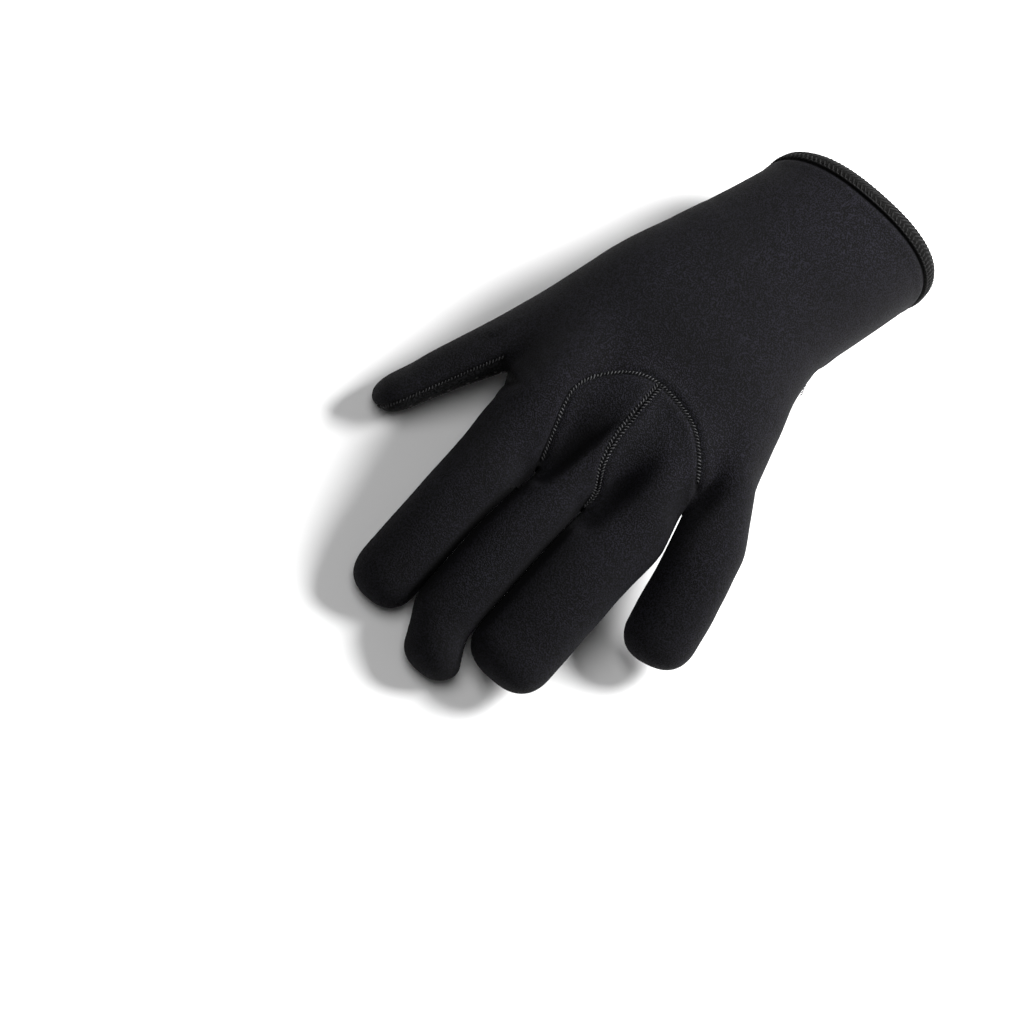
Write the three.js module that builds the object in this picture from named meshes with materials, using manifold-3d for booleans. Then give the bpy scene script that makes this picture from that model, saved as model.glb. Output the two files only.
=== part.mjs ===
// A neoprene diving glove for the left hand, built as its sewn panels and laid palm down.
// It rests on the bound edge of its cuff, its fingertips and the side of its thumb.
// Millimetres. +X runs from the cuff to the fingertips, +Y to the little finger, +Z up off the back of the hand.
//
// The glove is drawn straight and level first: x is the distance from the hem, y the distance across, and z the
// height off the middle surface. Closed lofts of the sleeve and of the five digits are joined, the same lofts
// a wall thinner are taken out, and the shell is cut into panels along its seams. The last step bends it into
// the shape of a relaxed hand.
import * as THREE from "three";
import { mergeVertices } from "three/addons/utils/BufferGeometryUtils.js";
import Module from "manifold-3d";

const wasm = await Module();
wasm.setup();

// The cuff and the hand. The cuff leaves the wrist askew, so the middle of the hem lies cuffSkew off the wrist's.
const cuffLength = 61;
const palmLength = 102;
const cuffWidth = 74;
const cuffHeight = 60;
const cuffSkew = 15.2;
const wristWidth = 80;
const wristHeight = 49;
const palmBreadth = 91;
const palmThickness = 42;
const neopreneWall = 3;
const seamGap = 0.36;
const sideSeamDrop = 3;
const bindingWidth = 6.5;
const bindingTape = 1.5;
const restFlat = 1;

// How far each finger reaches past its web, its width and its greatest thickness
const fingerGap = 0.8;
const middleAcross = -19.15;
const indexReach = 78;
const indexWidth = 25.4;
const middleReach = 84.5;
const middleWidth = 24.9;
const ringReach = 70.5;
const ringWidth = 32.6;
const littleReach = 60;
const littleWidth = 27.5;
const littleSplay = 15.5;
const littleWebStep = 31;
const fingerThickness = 24;
const fingertipLength = 15;

// The thumb grows out of the wrist, leans away from the hand and downwards, and is rolled to face the index.
const thumbLength = 131.5;
const thumbWidth = 25;
const thumbThickness = 17.5;
const thumbAcross = 36.8;
const thumbSplay = 24.7;
const thumbPitch = 10.1;
const thumbRoll = 75;

// Fineness of the facets
const sleeveSides = 36;
const digitSides = 16;
const curvePoints = 16;

const radians = THREE.MathUtils.degToRad;
const share = THREE.MathUtils.lerp;
const rootLine = cuffLength + palmLength;
const littleWeb = rootLine - littleWebStep;
const beyond = 2 * (rootLine + middleReach);

// Where the gaps between the fingers run
const indexMiddleGap = middleAcross - middleWidth / 2 - fingerGap / 2;
const middleRingGap = middleAcross + middleWidth / 2 + fingerGap / 2;
const indexAcross = indexMiddleGap - fingerGap / 2 - indexWidth / 2;
const ringSide = middleRingGap + fingerGap / 2;
const littleGapAtWeb = ringSide + 0.81 * ringWidth;
const ringLittleGap = (x) => littleGapAtWeb + (x - littleWeb) * Math.tan(radians(littleSplay));

// Sections of the sleeve from the hem to the finger roots: the distance from the hem, the places of the thumb's
// and of the little finger's side, and the heights of the top and the bottom over the middle surface.
const wristThumbSide = -cuffSkew - wristWidth / 2;
const wristLittleSide = -cuffSkew + wristWidth / 2;
const palmThumbSide = indexAcross - indexWidth / 2 - 0.02 * palmBreadth;
const palmLittleSide = palmThumbSide + palmBreadth;
const cuffRow = (along, side, height) => ({
  along: along * cuffLength,
  thumbSide: share(-cuffWidth / 2, wristThumbSide, side),
  littleSide: share(cuffWidth / 2, wristLittleSide, side),
  top: share(cuffHeight, wristHeight, height) / 2,
  bottom: share(cuffHeight, wristHeight, height) / 2,
});
const palmRow = (along, thumbSide, littleSide, top, bottom) => ({
  along: cuffLength + along * palmLength,
  thumbSide: palmThumbSide + thumbSide * palmBreadth,
  littleSide: palmLittleSide + littleSide * palmBreadth,
  top: top * palmThickness,
  bottom: bottom * palmThickness,
});
const sleeveSections = [
  cuffRow(0, 0, 0),
  cuffRow(0.2, 0.17, 0.1),
  cuffRow(0.4, 0.38, 0.32),
  cuffRow(0.62, 0.62, 0.62),
  cuffRow(0.84, 0.88, 0.9),
  cuffRow(1.02, 1, 1),
  palmRow(0.14, 0.03, -0.055, 0.56, 0.56),
  palmRow(0.28, 0.025, -0.005, 0.54, 0.54),
  palmRow(0.42, 0.015, 0.02, 0.5, 0.51),
  palmRow(0.56, 0.005, 0.035, 0.45, 0.46),
  palmRow(0.68, -0.005, -0.03, 0.39, 0.4),
  palmRow(0.79, 0, -0.13, 0.33, 0.34),
  palmRow(0.88, 0.03, -0.15, 0.27, 0.28),
  palmRow(0.95, 0.06, -0.16, 0.21, 0.21),
  palmRow(1, 0.09, -0.18, 0.12, 0.12),
];

// Sections of a finger behind its web and along its reach: width, top and bottom as shares of the finger's width
// and thickness. The rows behind the web lie a share of the palm's length back and rise into the knuckle.
const knuckleSections = [
  { back: 0.62, width: 0.45, top: 0.3, bottom: 0.3 },
  { back: 0.5, width: 0.8, top: 0.6, bottom: 0.6 },
  { back: 0.37, width: 0.94, top: 0.73, bottom: 0.66 },
  { back: 0.24, width: 1, top: 0.75, bottom: 0.62 },
  { back: 0.16, width: 1, top: 0.7, bottom: 0.6 },
  { back: 0.08, width: 1, top: 0.63, bottom: 0.57 },
  { back: 0, width: 1, top: 0.57, bottom: 0.54 },
];
const fingerSections = [
  { reach: 0.14, width: 1, top: 0.53, bottom: 0.52 },
  { reach: 0.28, width: 0.99, top: 0.52, bottom: 0.5 },
  { reach: 0.38, width: 1, top: 0.52, bottom: 0.47 },
  { reach: 0.52, width: 0.99, top: 0.5, bottom: 0.48 },
  { reach: 0.63, width: 1, top: 0.48, bottom: 0.46 },
  { reach: 0.72, width: 1, top: 0.46, bottom: 0.45 },
];
const thumbSections = [
  { reach: -0.03, width: 0.8, top: 0.5, bottom: 0.5 },
  { reach: 0.05, width: 1.2, top: 0.76, bottom: 0.7 },
  { reach: 0.113, width: 1.38, top: 0.88, bottom: 0.75 },
  { reach: 0.195, width: 1.48, top: 0.91, bottom: 0.76 },
  { reach: 0.32, width: 1.46, top: 0.82, bottom: 0.74 },
  { reach: 0.44, width: 1.34, top: 0.7, bottom: 0.66 },
  { reach: 0.565, width: 1.18, top: 0.6, bottom: 0.57 },
  { reach: 0.667, width: 1.07, top: 0.53, bottom: 0.51 },
  { reach: 0.78, width: 1, top: 0.46, bottom: 0.46 },
  { reach: 0.87, width: 0.95, top: 0.38, bottom: 0.43 },
];
const fingertipShares = [0, 0.4, 0.68, 0.86, 0.96];
const fingertipSquareness = 2.3;

// A closed solid from a three.js geometry
function solid(geometry) {
  geometry.deleteAttribute("normal");
  geometry.deleteAttribute("uv");
  const merged = mergeVertices(geometry, 1e-5);
  return new wasm.Manifold(
    new wasm.Mesh({
      numProp: 3,
      vertProperties: Float32Array.from(merged.attributes.position.array),
      triVerts: Uint32Array.from(merged.index.array),
    }),
  );
}

// A ring of points round an oval whose sides are squared off by the power of its superellipse
function oval({ side, otherSide, top, bottom }, sides, squareness) {
  const middle = (side + otherSide) / 2;
  const halfWidth = (otherSide - side) / 2;
  const swell = (value) => Math.sign(value) * Math.abs(value) ** (2 / squareness);
  return Array.from({ length: sides }, (_, k) => {
    const turn = (2 * Math.PI * k) / sides;
    const height = Math.sin(turn) > 0 ? top : bottom;
    return { across: middle + halfWidth * swell(Math.cos(turn)), height: height * swell(Math.sin(turn)) };
  });
}

// A closed loft through rings of equally many points, with a flat end at either end
function loft(rings) {
  const sides = rings[0].length;
  const middleOf = (ring) => ring.reduce((sum, p) => sum.add(p), new THREE.Vector3()).divideScalar(sides);
  const points = [...rings.flat(), middleOf(rings[0]), middleOf(rings.at(-1))];
  const index = [];
  for (let row = 0; row + 1 < rings.length; row++) {
    for (let k = 0; k < sides; k++) {
      const a = row * sides + k;
      const b = row * sides + ((k + 1) % sides);
      index.push(a, b, b + sides, a, b + sides, a + sides);
    }
  }
  const last = (rings.length - 1) * sides;
  for (let k = 0; k < sides; k++) {
    const next = (k + 1) % sides;
    index.push(rings.length * sides, next, k);
    index.push(rings.length * sides + 1, last + k, last + next);
  }
  const geometry = new THREE.BufferGeometry().setFromPoints(points);
  geometry.setIndex(index);
  return solid(geometry);
}

// The sleeve between two of its distances from the hem, with its sides and heights drawn in by an inset
function sleeveSection(x) {
  const after = Math.max(1, sleeveSections.findIndex((row) => row.along >= x));
  const [a, b] = [sleeveSections[after - 1], sleeveSections[after]];
  const t = Math.max(0, (x - a.along) / (b.along - a.along));
  return Object.fromEntries(Object.keys(a).map((key) => [key, share(a[key], b[key], t)]));
}

function sleeveLoft(from, to, inset) {
  const inside = sleeveSections.map((row) => row.along).filter((x) => x > from && x < to);
  return loft(
    [from, ...inside, to].map((x) => {
      const row = sleeveSection(x);
      const drawn = {
        side: row.thumbSide + inset,
        otherSide: row.littleSide - inset,
        top: row.top - inset,
        bottom: row.bottom - inset,
      };
      return oval(drawn, sleeveSides, 2.35).map((p) => new THREE.Vector3(x, p.across, p.height));
    }),
  );
}

// A digit: its place and directions, its size, and its sections as lengths along it
function digit({ origin, splay, pitch = 0, roll = 0, reach, rows, ...rest }) {
  const frame = new THREE.Matrix4()
    .makeTranslation(origin)
    .multiply(new THREE.Matrix4().makeRotationZ(radians(splay)))
    .multiply(new THREE.Matrix4().makeRotationY(radians(pitch)))
    .multiply(new THREE.Matrix4().makeRotationX(radians(roll)));
  const last = rows.at(-1);
  const roundStart = reach - fingertipLength;
  return { frame, origin, splay, reach, rows: [...rows, { ...last, along: roundStart }], ...rest };
}

function digitLoft({ frame, reach, rows }, inset) {
  const end = rows.at(-1);
  const tip = fingertipShares.slice(1).map((t) => {
    const round = (1 - t ** fingertipSquareness) ** (1 / fingertipSquareness);
    const middle = (end.side + end.otherSide) / 2;
    const half = ((end.otherSide - end.side) / 2 - inset) * round;
    return {
      along: end.along + t * (fingertipLength - inset),
      side: middle - half,
      otherSide: middle + half,
      top: (end.top - inset) * round,
      bottom: (end.bottom - inset) * round,
    };
  });
  const body = rows.map((row) => ({
    along: row.along,
    side: row.side + inset,
    otherSide: row.otherSide - inset,
    top: row.top - inset,
    bottom: row.bottom - inset,
  }));
  return loft(
    [...body, ...tip].map((row) =>
      oval(row, digitSides, 2.25).map((p) => new THREE.Vector3(row.along, p.across, p.height).applyMatrix4(frame)),
    ),
  );
}

// A finger's own rows. A straight side keeps its line, and a clearing function may hold the other side back.
// The knuckle rows of a low root lose height the further back they lie.
function fingerRows({ width, reach, knuckle = 1, lowRoot = 0, straightSide = 0, widest = () => Infinity }) {
  const row = (along, r) => {
    const full = Math.min(width * r.width, widest(along));
    const shift = (straightSide * (width - full)) / 2;
    const height = fingerThickness * (1 - lowRoot * (r.back ?? 0));
    return {
      along,
      side: shift - full / 2,
      otherSide: shift + full / 2,
      top: r.top * height,
      bottom: r.bottom * height,
    };
  };
  const behind = knuckleSections.map((r) => row(-knuckle * r.back * palmLength, r));
  return [...behind, ...fingerSections.map((r) => row(r.reach * reach, r))];
}

const index = digit({
  origin: new THREE.Vector3(rootLine, indexAcross, 0),
  splay: 0,
  reach: indexReach,
  rows: fingerRows({ width: indexWidth, reach: indexReach }),
});
const middle = digit({
  origin: new THREE.Vector3(rootLine, middleAcross, 0),
  splay: 0,
  reach: middleReach,
  rows: fingerRows({ width: middleWidth, reach: middleReach }),
});
const ring = digit({
  origin: new THREE.Vector3(rootLine, ringSide + ringWidth / 2, 0),
  splay: 0,
  reach: ringReach,
  rows: fingerRows({
    width: ringWidth,
    reach: ringReach,
    straightSide: -1,
    widest: (along) => ringLittleGap(Math.max(rootLine + along, littleWeb)) - fingerGap / 2 - ringSide,
  }),
});
const littleOut = (fingerGap / 2 + littleWidth / 2) / Math.cos(radians(littleSplay));
const little = digit({
  origin: new THREE.Vector3(littleWeb, ringLittleGap(littleWeb) + littleOut, 0),
  splay: littleSplay,
  reach: littleReach,
  rows: fingerRows({
    width: littleWidth,
    reach: littleReach,
    knuckle: 0.7,
    lowRoot: 0.45,
    straightSide: -1,
    widest: (along) => littleWidth * Math.min(1, 0.92 + along / palmLength),
  }),
});
const thumb = digit({
  origin: new THREE.Vector3(cuffLength, -thumbAcross, 0),
  splay: -thumbSplay,
  pitch: thumbPitch,
  roll: thumbRoll,
  reach: thumbLength,
  rows: thumbSections.map((r) => ({
    along: r.reach * thumbLength,
    side: (-r.width * thumbWidth) / 2,
    otherSide: (r.width * thumbWidth) / 2,
    top: r.top * thumbThickness,
    bottom: r.bottom * thumbThickness,
  })),
});
const digits = [index, middle, ring, little, thumb];

// The whole shell, drawn straight and level
const joined = (inset, from) =>
  digits.reduce(
    (sum, each) => sum.add(digitLoft(each, inset)),
    sleeveLoft(from, rootLine - inset, inset),
  );
const shell = joined(0, 0).subtract(joined(neopreneWall, -beyond));

// Cutting zones. Each is an outline seen from above, or a block, that can be grown or drawn in by a seam's half.
function grownOutline(points, grow) {
  return points.map((point, k) => {
    const before = points.at(k - 1);
    const after = points[(k + 1) % points.length];
    const normalOf = (a, b) => new THREE.Vector2(b.y - a.y, a.x - b.x).normalize();
    const [n, m] = [normalOf(before, point), normalOf(point, after)];
    return point.clone().add(n.clone().add(m).multiplyScalar(grow / (1 + n.dot(m))));
  });
}

function zone(points, low, high, grow) {
  const shape = new THREE.Shape(grownOutline(points, grow));
  const geometry = new THREE.ExtrudeGeometry(shape, { depth: high - low, bevelEnabled: false });
  return solid(geometry.translate(0, 0, low));
}

const point = (x, y) => new THREE.Vector2(x, y);
const smooth = (...points) => new THREE.SplineCurve(points).getPoints(curvePoints);
const fromPalm = (along, across) => point(cuffLength + along * palmLength, palmThumbSide + across * palmBreadth);

// Where the thumb leaves the hand, and the line under it along which its inner strip is sewn
const thumbCrotch = 0.683;
const thumbPoint = (reach, out) => {
  const place = new THREE.Vector3(reach * thumbLength, 0, 0).applyMatrix4(thumb.frame);
  const side = new THREE.Vector2(Math.sin(radians(thumbSplay)), Math.cos(radians(thumbSplay)));
  return point(place.x, place.y).addScaledVector(side, out);
};
const stripFace = 0.64 * thumbThickness;

function palmZone(grow) {
  const heel = smooth(
    fromPalm(0.06, 1.2),
    fromPalm(0.05, 0.9),
    fromPalm(0.035, 0.66),
    fromPalm(0.06, 0.5),
    fromPalm(0.19, 0.35),
    fromPalm(0.38, 0.19),
    thumbPoint(0.544, 0),
    thumbPoint(thumbCrotch, -0.02 * thumbWidth),
  );
  const outline = [
    point(beyond, beyond),
    point(heel[0].x, beyond),
    ...heel,
    thumbPoint(thumbCrotch, stripFace),
    thumbPoint(2, stripFace),
    point(beyond, -beyond),
  ];
  const hand = zone(outline, -beyond, -sideSeamDrop + grow, grow);
  const strip = new THREE.BoxGeometry(beyond, 4 * thumbWidth, stripFace - sideSeamDrop + 2 * grow);
  strip.translate(beyond / 2 + thumbCrotch * thumbLength - grow, 0, -(stripFace + sideSeamDrop) / 2);
  return hand.add(solid(strip.applyMatrix4(thumb.frame)));
}

const insertTop = -sideSeamDrop;
const littleGapPoint = (x) => point(x, ringLittleGap(x));

function insertZone(grow) {
  const arch = smooth(
    point(rootLine, indexMiddleGap),
    fromPalm(0.88, 0.27),
    fromPalm(0.74, 0.235),
    fromPalm(0.63, 0.29),
    fromPalm(0.55, 0.4),
    fromPalm(0.53, 0.53),
    fromPalm(0.555, 0.68),
    fromPalm(0.62, 0.79),
    littleGapPoint(littleWeb),
  );
  const outline = [
    point(beyond, indexMiddleGap),
    ...arch,
    littleGapPoint(beyond),
  ];
  return zone(outline.reverse(), insertTop - grow, beyond, grow);
}

function ringZone(grow) {
  const seam = smooth(
    fromPalm(0.4, 0.49),
    fromPalm(0.72, 0.49),
    fromPalm(0.86, 0.52),
    fromPalm(0.94, 0.58),
    point(rootLine, middleRingGap),
  );
  const outline = [...seam, point(beyond, middleRingGap), point(beyond, beyond), point(seam[0].x, beyond)];
  return zone(outline, -beyond, beyond, grow);
}

const half = seamGap / 2;
const palmPanel = shell.intersect(palmZone(-half));
const backs = shell.subtract(palmZone(half));
const insert = backs.intersect(insertZone(-half));
const panels = {
  main_panel: backs.subtract(insertZone(half)),
  middle_back: insert.subtract(ringZone(half)),
  ring_back: insert.intersect(ringZone(-half)),
  palm_panel: palmPanel,
  cuff_binding: cuffBinding(),
};

// The hem's binding is folded round the edge of the cuff, a gap off the neoprene inside and out.
function cuffBinding() {
  const cover = seamGap + bindingTape;
  const folded = sleeveLoft(-cover, bindingWidth, -cover);
  const opening = sleeveLoft(-beyond, bindingWidth + cover, neopreneWall + cover);
  const edge = sleeveLoft(-seamGap, bindingWidth + cover, -seamGap);
  const edgeInside = sleeveLoft(-beyond, bindingWidth + cover, neopreneWall + seamGap);
  return folded.subtract(opening).subtract(edge.subtract(edgeInside));
}

// A bend is a table of slopes along a line. It gives the place and the slope at a distance along the bent line.
function bend(rows) {
  const slopeAt = (s) => {
    const after = rows.findIndex((row) => row.along > s);
    if (after === 0) return rows[0].slope;
    if (after < 0) return rows.at(-1).slope;
    const [a, b] = [rows[after - 1], rows[after]];
    return share(a.slope, b.slope, (s - a.along) / (b.along - a.along));
  };
  const places = [new THREE.Vector2()];
  for (let s = 0; s < beyond; s++) {
    const slope = radians(slopeAt(s + 0.5));
    places.push(places[s].clone().add(point(Math.cos(slope), Math.sin(slope))));
  }
  return (s) => {
    const step = Math.max(0, Math.floor(s));
    const slope = radians(slopeAt(s));
    const place = places[step].clone().addScaledVector(point(Math.cos(slope), Math.sin(slope)), s - step);
    return { x: place.x, z: place.y, slope };
  };
}

const handArch = bend([
  { along: 0, slope: 5.5 },
  { along: 0.8 * cuffLength, slope: 5.5 },
  { along: 1.2 * cuffLength, slope: 0.5 },
  { along: cuffLength + 0.6 * palmLength, slope: 0 },
  { along: cuffLength + 0.9 * palmLength, slope: -9 },
]);

const curl = (each, ...slopes) => {
  const places = [0, 0.08, 0.36, 0.48, 0.78];
  return bend(places.map((along, k) => ({ along: along * each.reach, slope: slopes[k] })));
};
index.curl = curl(index, 0, -1, -10, -11, -20);
middle.curl = curl(middle, 0, -1, -9, -9, -15);
ring.curl = curl(ring, 0, -1, -8, -8, -12);
little.curl = curl(little, 0, -1, -18, -19, -28);
// Past the ring finger's tip the middle finger drifts towards it and widens.
middle.drift = 0.4 * middleWidth;
middle.widening = 0.45;
middle.driftFrom = ringReach - 0.6 * fingertipLength;

function curled(p, { origin, splay, reach, curl: bentLine, drift = 0, widening = 0, driftFrom = 0 }) {
  const along = new THREE.Vector3(Math.cos(radians(splay)), Math.sin(radians(splay)), 0);
  const across = new THREE.Vector3(-along.y, along.x, 0);
  const from = p.clone().sub(origin);
  const s = from.dot(along);
  if (s <= 0) return p;
  const at = bentLine(s);
  const drifted = THREE.MathUtils.smoothstep(s, driftFrom, reach);
  const sideways = from.dot(across) * (1 + widening * drifted) + drift * drifted;
  return origin
    .clone()
    .addScaledVector(along, at.x - p.z * Math.sin(at.slope))
    .addScaledVector(across, sideways)
    .setZ(at.z + p.z * Math.cos(at.slope));
}

function digitAt({ x, y }) {
  if (y > ringLittleGap(x)) return little;
  if (y > middleRingGap) return ring;
  if (y > indexMiddleGap) return middle;
  return y > indexMiddleGap - indexWidth - 2 * fingerGap ? index : undefined;
}

// The hem's lowest edge is pressed flat by restFlat where the glove lies on it.
const hemHeight = (cuffHeight / 2 + seamGap + bindingTape) * Math.cos(radians(5.5)) - restFlat;

function posed(p) {
  const own = digitAt(p);
  const level = own ? curled(p, own) : p;
  const at = handArch(level.x);
  return new THREE.Vector3(
    at.x - level.z * Math.sin(at.slope),
    level.y,
    Math.max(0, hemHeight + at.z + level.z * Math.cos(at.slope)),
  );
}

function posedGeometry(panel) {
  const { numProp, vertProperties, triVerts } = panel.getMesh();
  const points = Array.from({ length: vertProperties.length / numProp }, (_, k) =>
    posed(new THREE.Vector3().fromArray(vertProperties, k * numProp)),
  );
  const geometry = new THREE.BufferGeometry().setFromPoints(points);
  geometry.setIndex(Array.from(triVerts));
  geometry.computeVertexNormals();
  return geometry;
}

const neoprene = { color: 0x1a1b20, roughness: 0.85, metalness: 0 };
const finishes = {
  main_panel: neoprene,
  middle_back: neoprene,
  ring_back: neoprene,
  palm_panel: { color: 0x141417, roughness: 0.7, metalness: 0 },
  cuff_binding: { color: 0x101013, roughness: 0.9, metalness: 0 },
};

const glove = new THREE.Group();
for (const [name, panel] of Object.entries(panels)) {
  const mesh = new THREE.Mesh(posedGeometry(panel), new THREE.MeshStandardMaterial(finishes[name]));
  mesh.name = name;
  glove.add(mesh);
}

// The origin lies on the floor under the middle of the glove.
const middleOfGlove = new THREE.Box3().setFromObject(glove).getCenter(new THREE.Vector3());
glove.position.set(-middleOfGlove.x, -middleOfGlove.y, 0);

export default glove;
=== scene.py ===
"""A neoprene diving glove for the left hand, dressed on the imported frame.

The glove is drawn straight and level first, in millimetres: x runs from the hem to the fingertips, y to the
little finger and z up off the middle surface. One smooth skin is worked out from the sections of the hand and
the digits, cut into its sewn panels, and bent into the shape of a relaxed hand lying palm down. Its walls,
seams, threads, grip dots and bound hem follow from the same surface.
"""
import math
from types import SimpleNamespace

import bpy
import numpy as np
from mathutils import Matrix, Vector


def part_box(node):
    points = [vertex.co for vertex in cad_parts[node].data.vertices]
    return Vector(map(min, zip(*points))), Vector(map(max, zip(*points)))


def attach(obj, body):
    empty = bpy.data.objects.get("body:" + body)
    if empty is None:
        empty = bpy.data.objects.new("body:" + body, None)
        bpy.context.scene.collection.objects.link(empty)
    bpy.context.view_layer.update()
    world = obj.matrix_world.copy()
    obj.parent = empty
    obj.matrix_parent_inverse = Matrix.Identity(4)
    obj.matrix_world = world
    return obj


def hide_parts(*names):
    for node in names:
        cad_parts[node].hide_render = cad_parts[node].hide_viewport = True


bl_info = {
    "name": "Diving glove",
    "version": (1, 0, 0),
    "blender": (4, 5, 0),
    "location": "3D View > Sidebar > Diving glove",
    "description": "Makes a sewn neoprene diving glove with a grip palm and a bound hem",
    "category": "Object",
}

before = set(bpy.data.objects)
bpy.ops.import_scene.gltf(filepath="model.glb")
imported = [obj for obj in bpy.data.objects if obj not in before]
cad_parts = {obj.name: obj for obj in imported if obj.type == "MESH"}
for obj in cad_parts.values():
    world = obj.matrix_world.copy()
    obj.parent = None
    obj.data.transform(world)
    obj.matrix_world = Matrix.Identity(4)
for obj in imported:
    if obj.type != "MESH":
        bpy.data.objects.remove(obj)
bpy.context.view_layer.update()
HEM_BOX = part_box("cuff_binding")

METRES = 0.001

# Cuff rows: distance from the hem as a share of the cuff, and the shares of the way from the hem's
# width and height to the wrist's.
CUFF_ROWS = (
    # along, side, height
    (0.0, 0.0, 0.0),
    (0.2, 0.17, 0.1),
    (0.4, 0.38, 0.32),
    (0.62, 0.62, 0.62),
    (0.84, 0.88, 0.9),
    (1.02, 1.0, 1.0),
)
# Palm rows: distance from the wrist as a share of the palm's length, the places of the thumb's and the little
# finger's side as shares of its breadth, and the heights over and under the middle as shares of its
# thickness.
PALM_ROWS = (
    # along, thumb side, little side, top, bottom
    (0.14, 0.03, -0.055, 0.56, 0.56),
    (0.28, 0.025, -0.005, 0.54, 0.54),
    (0.42, 0.015, 0.02, 0.5, 0.51),
    (0.56, 0.005, 0.035, 0.45, 0.46),
    (0.68, -0.005, -0.03, 0.39, 0.4),
    (0.79, 0.0, -0.13, 0.33, 0.34),
    (0.88, 0.03, -0.15, 0.27, 0.28),
    (0.95, 0.06, -0.16, 0.21, 0.21),
    (1.0, 0.09, -0.18, 0.12, 0.12),
)
# Knuckle rows behind a finger's web, and the rows of its free length. Widths are shares of the finger's
# width, and tops and bottoms shares of its thickness.
KNUCKLE_ROWS = (
    # share of the palm's length behind the web, width, top, bottom
    (0.62, 0.45, 0.3, 0.3),
    (0.5, 0.8, 0.6, 0.6),
    (0.37, 0.94, 0.73, 0.66),
    (0.24, 1.0, 0.75, 0.62),
    (0.16, 1.0, 0.7, 0.6),
    (0.08, 1.0, 0.63, 0.57),
    (0.0, 1.0, 0.57, 0.54),
)
FINGER_ROWS = (
    # share of the reach, width, top, bottom
    (0.14, 1.0, 0.53, 0.52),
    (0.28, 0.99, 0.52, 0.5),
    (0.38, 1.0, 0.52, 0.47),
    (0.52, 0.99, 0.5, 0.48),
    (0.63, 1.0, 0.48, 0.46),
    (0.72, 1.0, 0.46, 0.45),
)
THUMB_ROWS = (
    # share of the length, width, top, bottom
    (-0.03, 0.8, 0.5, 0.5),
    (0.05, 1.2, 0.76, 0.7),
    (0.113, 1.38, 0.88, 0.75),
    (0.195, 1.48, 0.91, 0.76),
    (0.32, 1.46, 0.82, 0.74),
    (0.44, 1.34, 0.7, 0.66),
    (0.565, 1.18, 0.6, 0.57),
    (0.667, 1.07, 0.53, 0.51),
    (0.78, 1.0, 0.46, 0.46),
    (0.87, 0.95, 0.38, 0.43),
)
# How squarely the sections and the fingertips are rounded, as powers of their superellipses
SLEEVE_SQUARENESS = 2.35
DIGIT_SQUARENESS = 2.08
FINGERTIP_SQUARENESS = 2.6
# Where the middle fingertip starts to lean over and where it has leant over, as distances from its end in mm
LEAN_PLACES = (23.0, 6.0)
# How dark the painted shade is on the cloth beside touching fingers, on the scale of the valleys' depth
GAP_SHADE = 0.26

# The back of the hand: slope in degrees at each distance from the hem, in cuffs, and then at distances from
# the wrist, in palms
CUFF_SLOPES = ((0.0, 5.5), (0.8, 5.5), (1.2, 0.5))
PALM_SLOPES = ((0.6, 0.0), (0.9, -9.0))
# The fingers' slopes in degrees at these shares of their reach
CURL_PLACES = (0.0, 0.08, 0.36, 0.48, 0.78)
CURLS = {
    "index": (0, -1, -10, -11, -20),
    "middle": (0, -1, -9, -9, -15),
    "ring": (0, -1, -8, -8, -12),
    "little": (0, -1, -18, -19, -28),
}

# Seam lines seen from above. Each point is a distance from the wrist as a share of the palm's length, and a
# place across it from the thumb's side as a share of its breadth.
ARCH_SEAM = (
    (0.88, 0.27), (0.74, 0.235), (0.63, 0.29), (0.55, 0.4), (0.53, 0.53), (0.555, 0.68), (0.62, 0.79),
)
CENTRE_SEAM = ((0.4, 0.49), (0.72, 0.49), (0.86, 0.52), (0.94, 0.58))
HEEL_SEAM = ((0.06, 1.2), (0.05, 0.9), (0.035, 0.66), (0.06, 0.5), (0.19, 0.35), (0.38, 0.19))
CUFF_SEAM = ((-0.54, 0.81), (-0.4, 0.84), (-0.2, 0.88), (0.04, 0.95))
# Valleys that the empty glove sinks into between its knuckles. Each runs from a web back into the hand: its
# ends as for the seams, its depth as a share of the palm's thickness, and its width on the thumb's side and
# on the other side as shares of the palm's breadth.
VALLEYS = (
    # along, across, along, across, depth, width, other width
    (1.03, 0.33, 0.6, 0.495, 0.24, 0.09, 0.033),
    (1.03, 0.605, 0.68, 0.69, 0.21, 0.045, 0.055),
    (0.8, 0.9, 0.58, 0.97, 0.11, 0.05, 0.05),
)
# Where the thumb's root joins the hand, where it leaves it, and where the line under it starts, as shares of
# its length
THUMB_ROOT = 0.3
THUMB_CROTCH = 0.625
THUMB_SEAM_START = 0.544
# Height of the palm's strip on the thumb, as a share of the thumb's thickness
THUMB_STRIP = 0.64
# How far the hand reaches past the index finger, as a share of its breadth, and how broad the ring finger is
# at the little finger's web, as a share of its width
HAND_PAST_INDEX = 0.02
RING_AT_LITTLE_WEB = 0.81
# Stretches over which something fades in, as distances in mm from the web or the tip that it belongs to
PARTING_FADE = (-9.0, 7.0)
LITTLE_PARTING_FADE = (-7.0, 12.0)
CLOSING_FADE = (-4.0, 12.0)
UNION_FADE = (-34.0, 3.0)
BESIDE_FADE = (-8.0, 4.0)
TIP_FADE = (0.0, 9.0)
# Width of the rounded unions with the fingers and with the thumb in mm, and how much narrower they get
FINGER_UNION = (9.0, 7.8)
THUMB_UNION = (14.0, 5.0)
# The bell curve of the leaning web: how far past the web it lies and its width in mm, and its squeeze across
LEAN_BELL = (1.0, 17.0, 1.2)
# Where along a valley it starts to fade out, and the heights in mm between which the skin starts to sink
VALLEY_FADE = 0.3
VALLEY_HEIGHTS = (-5.0, 9.0)
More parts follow.
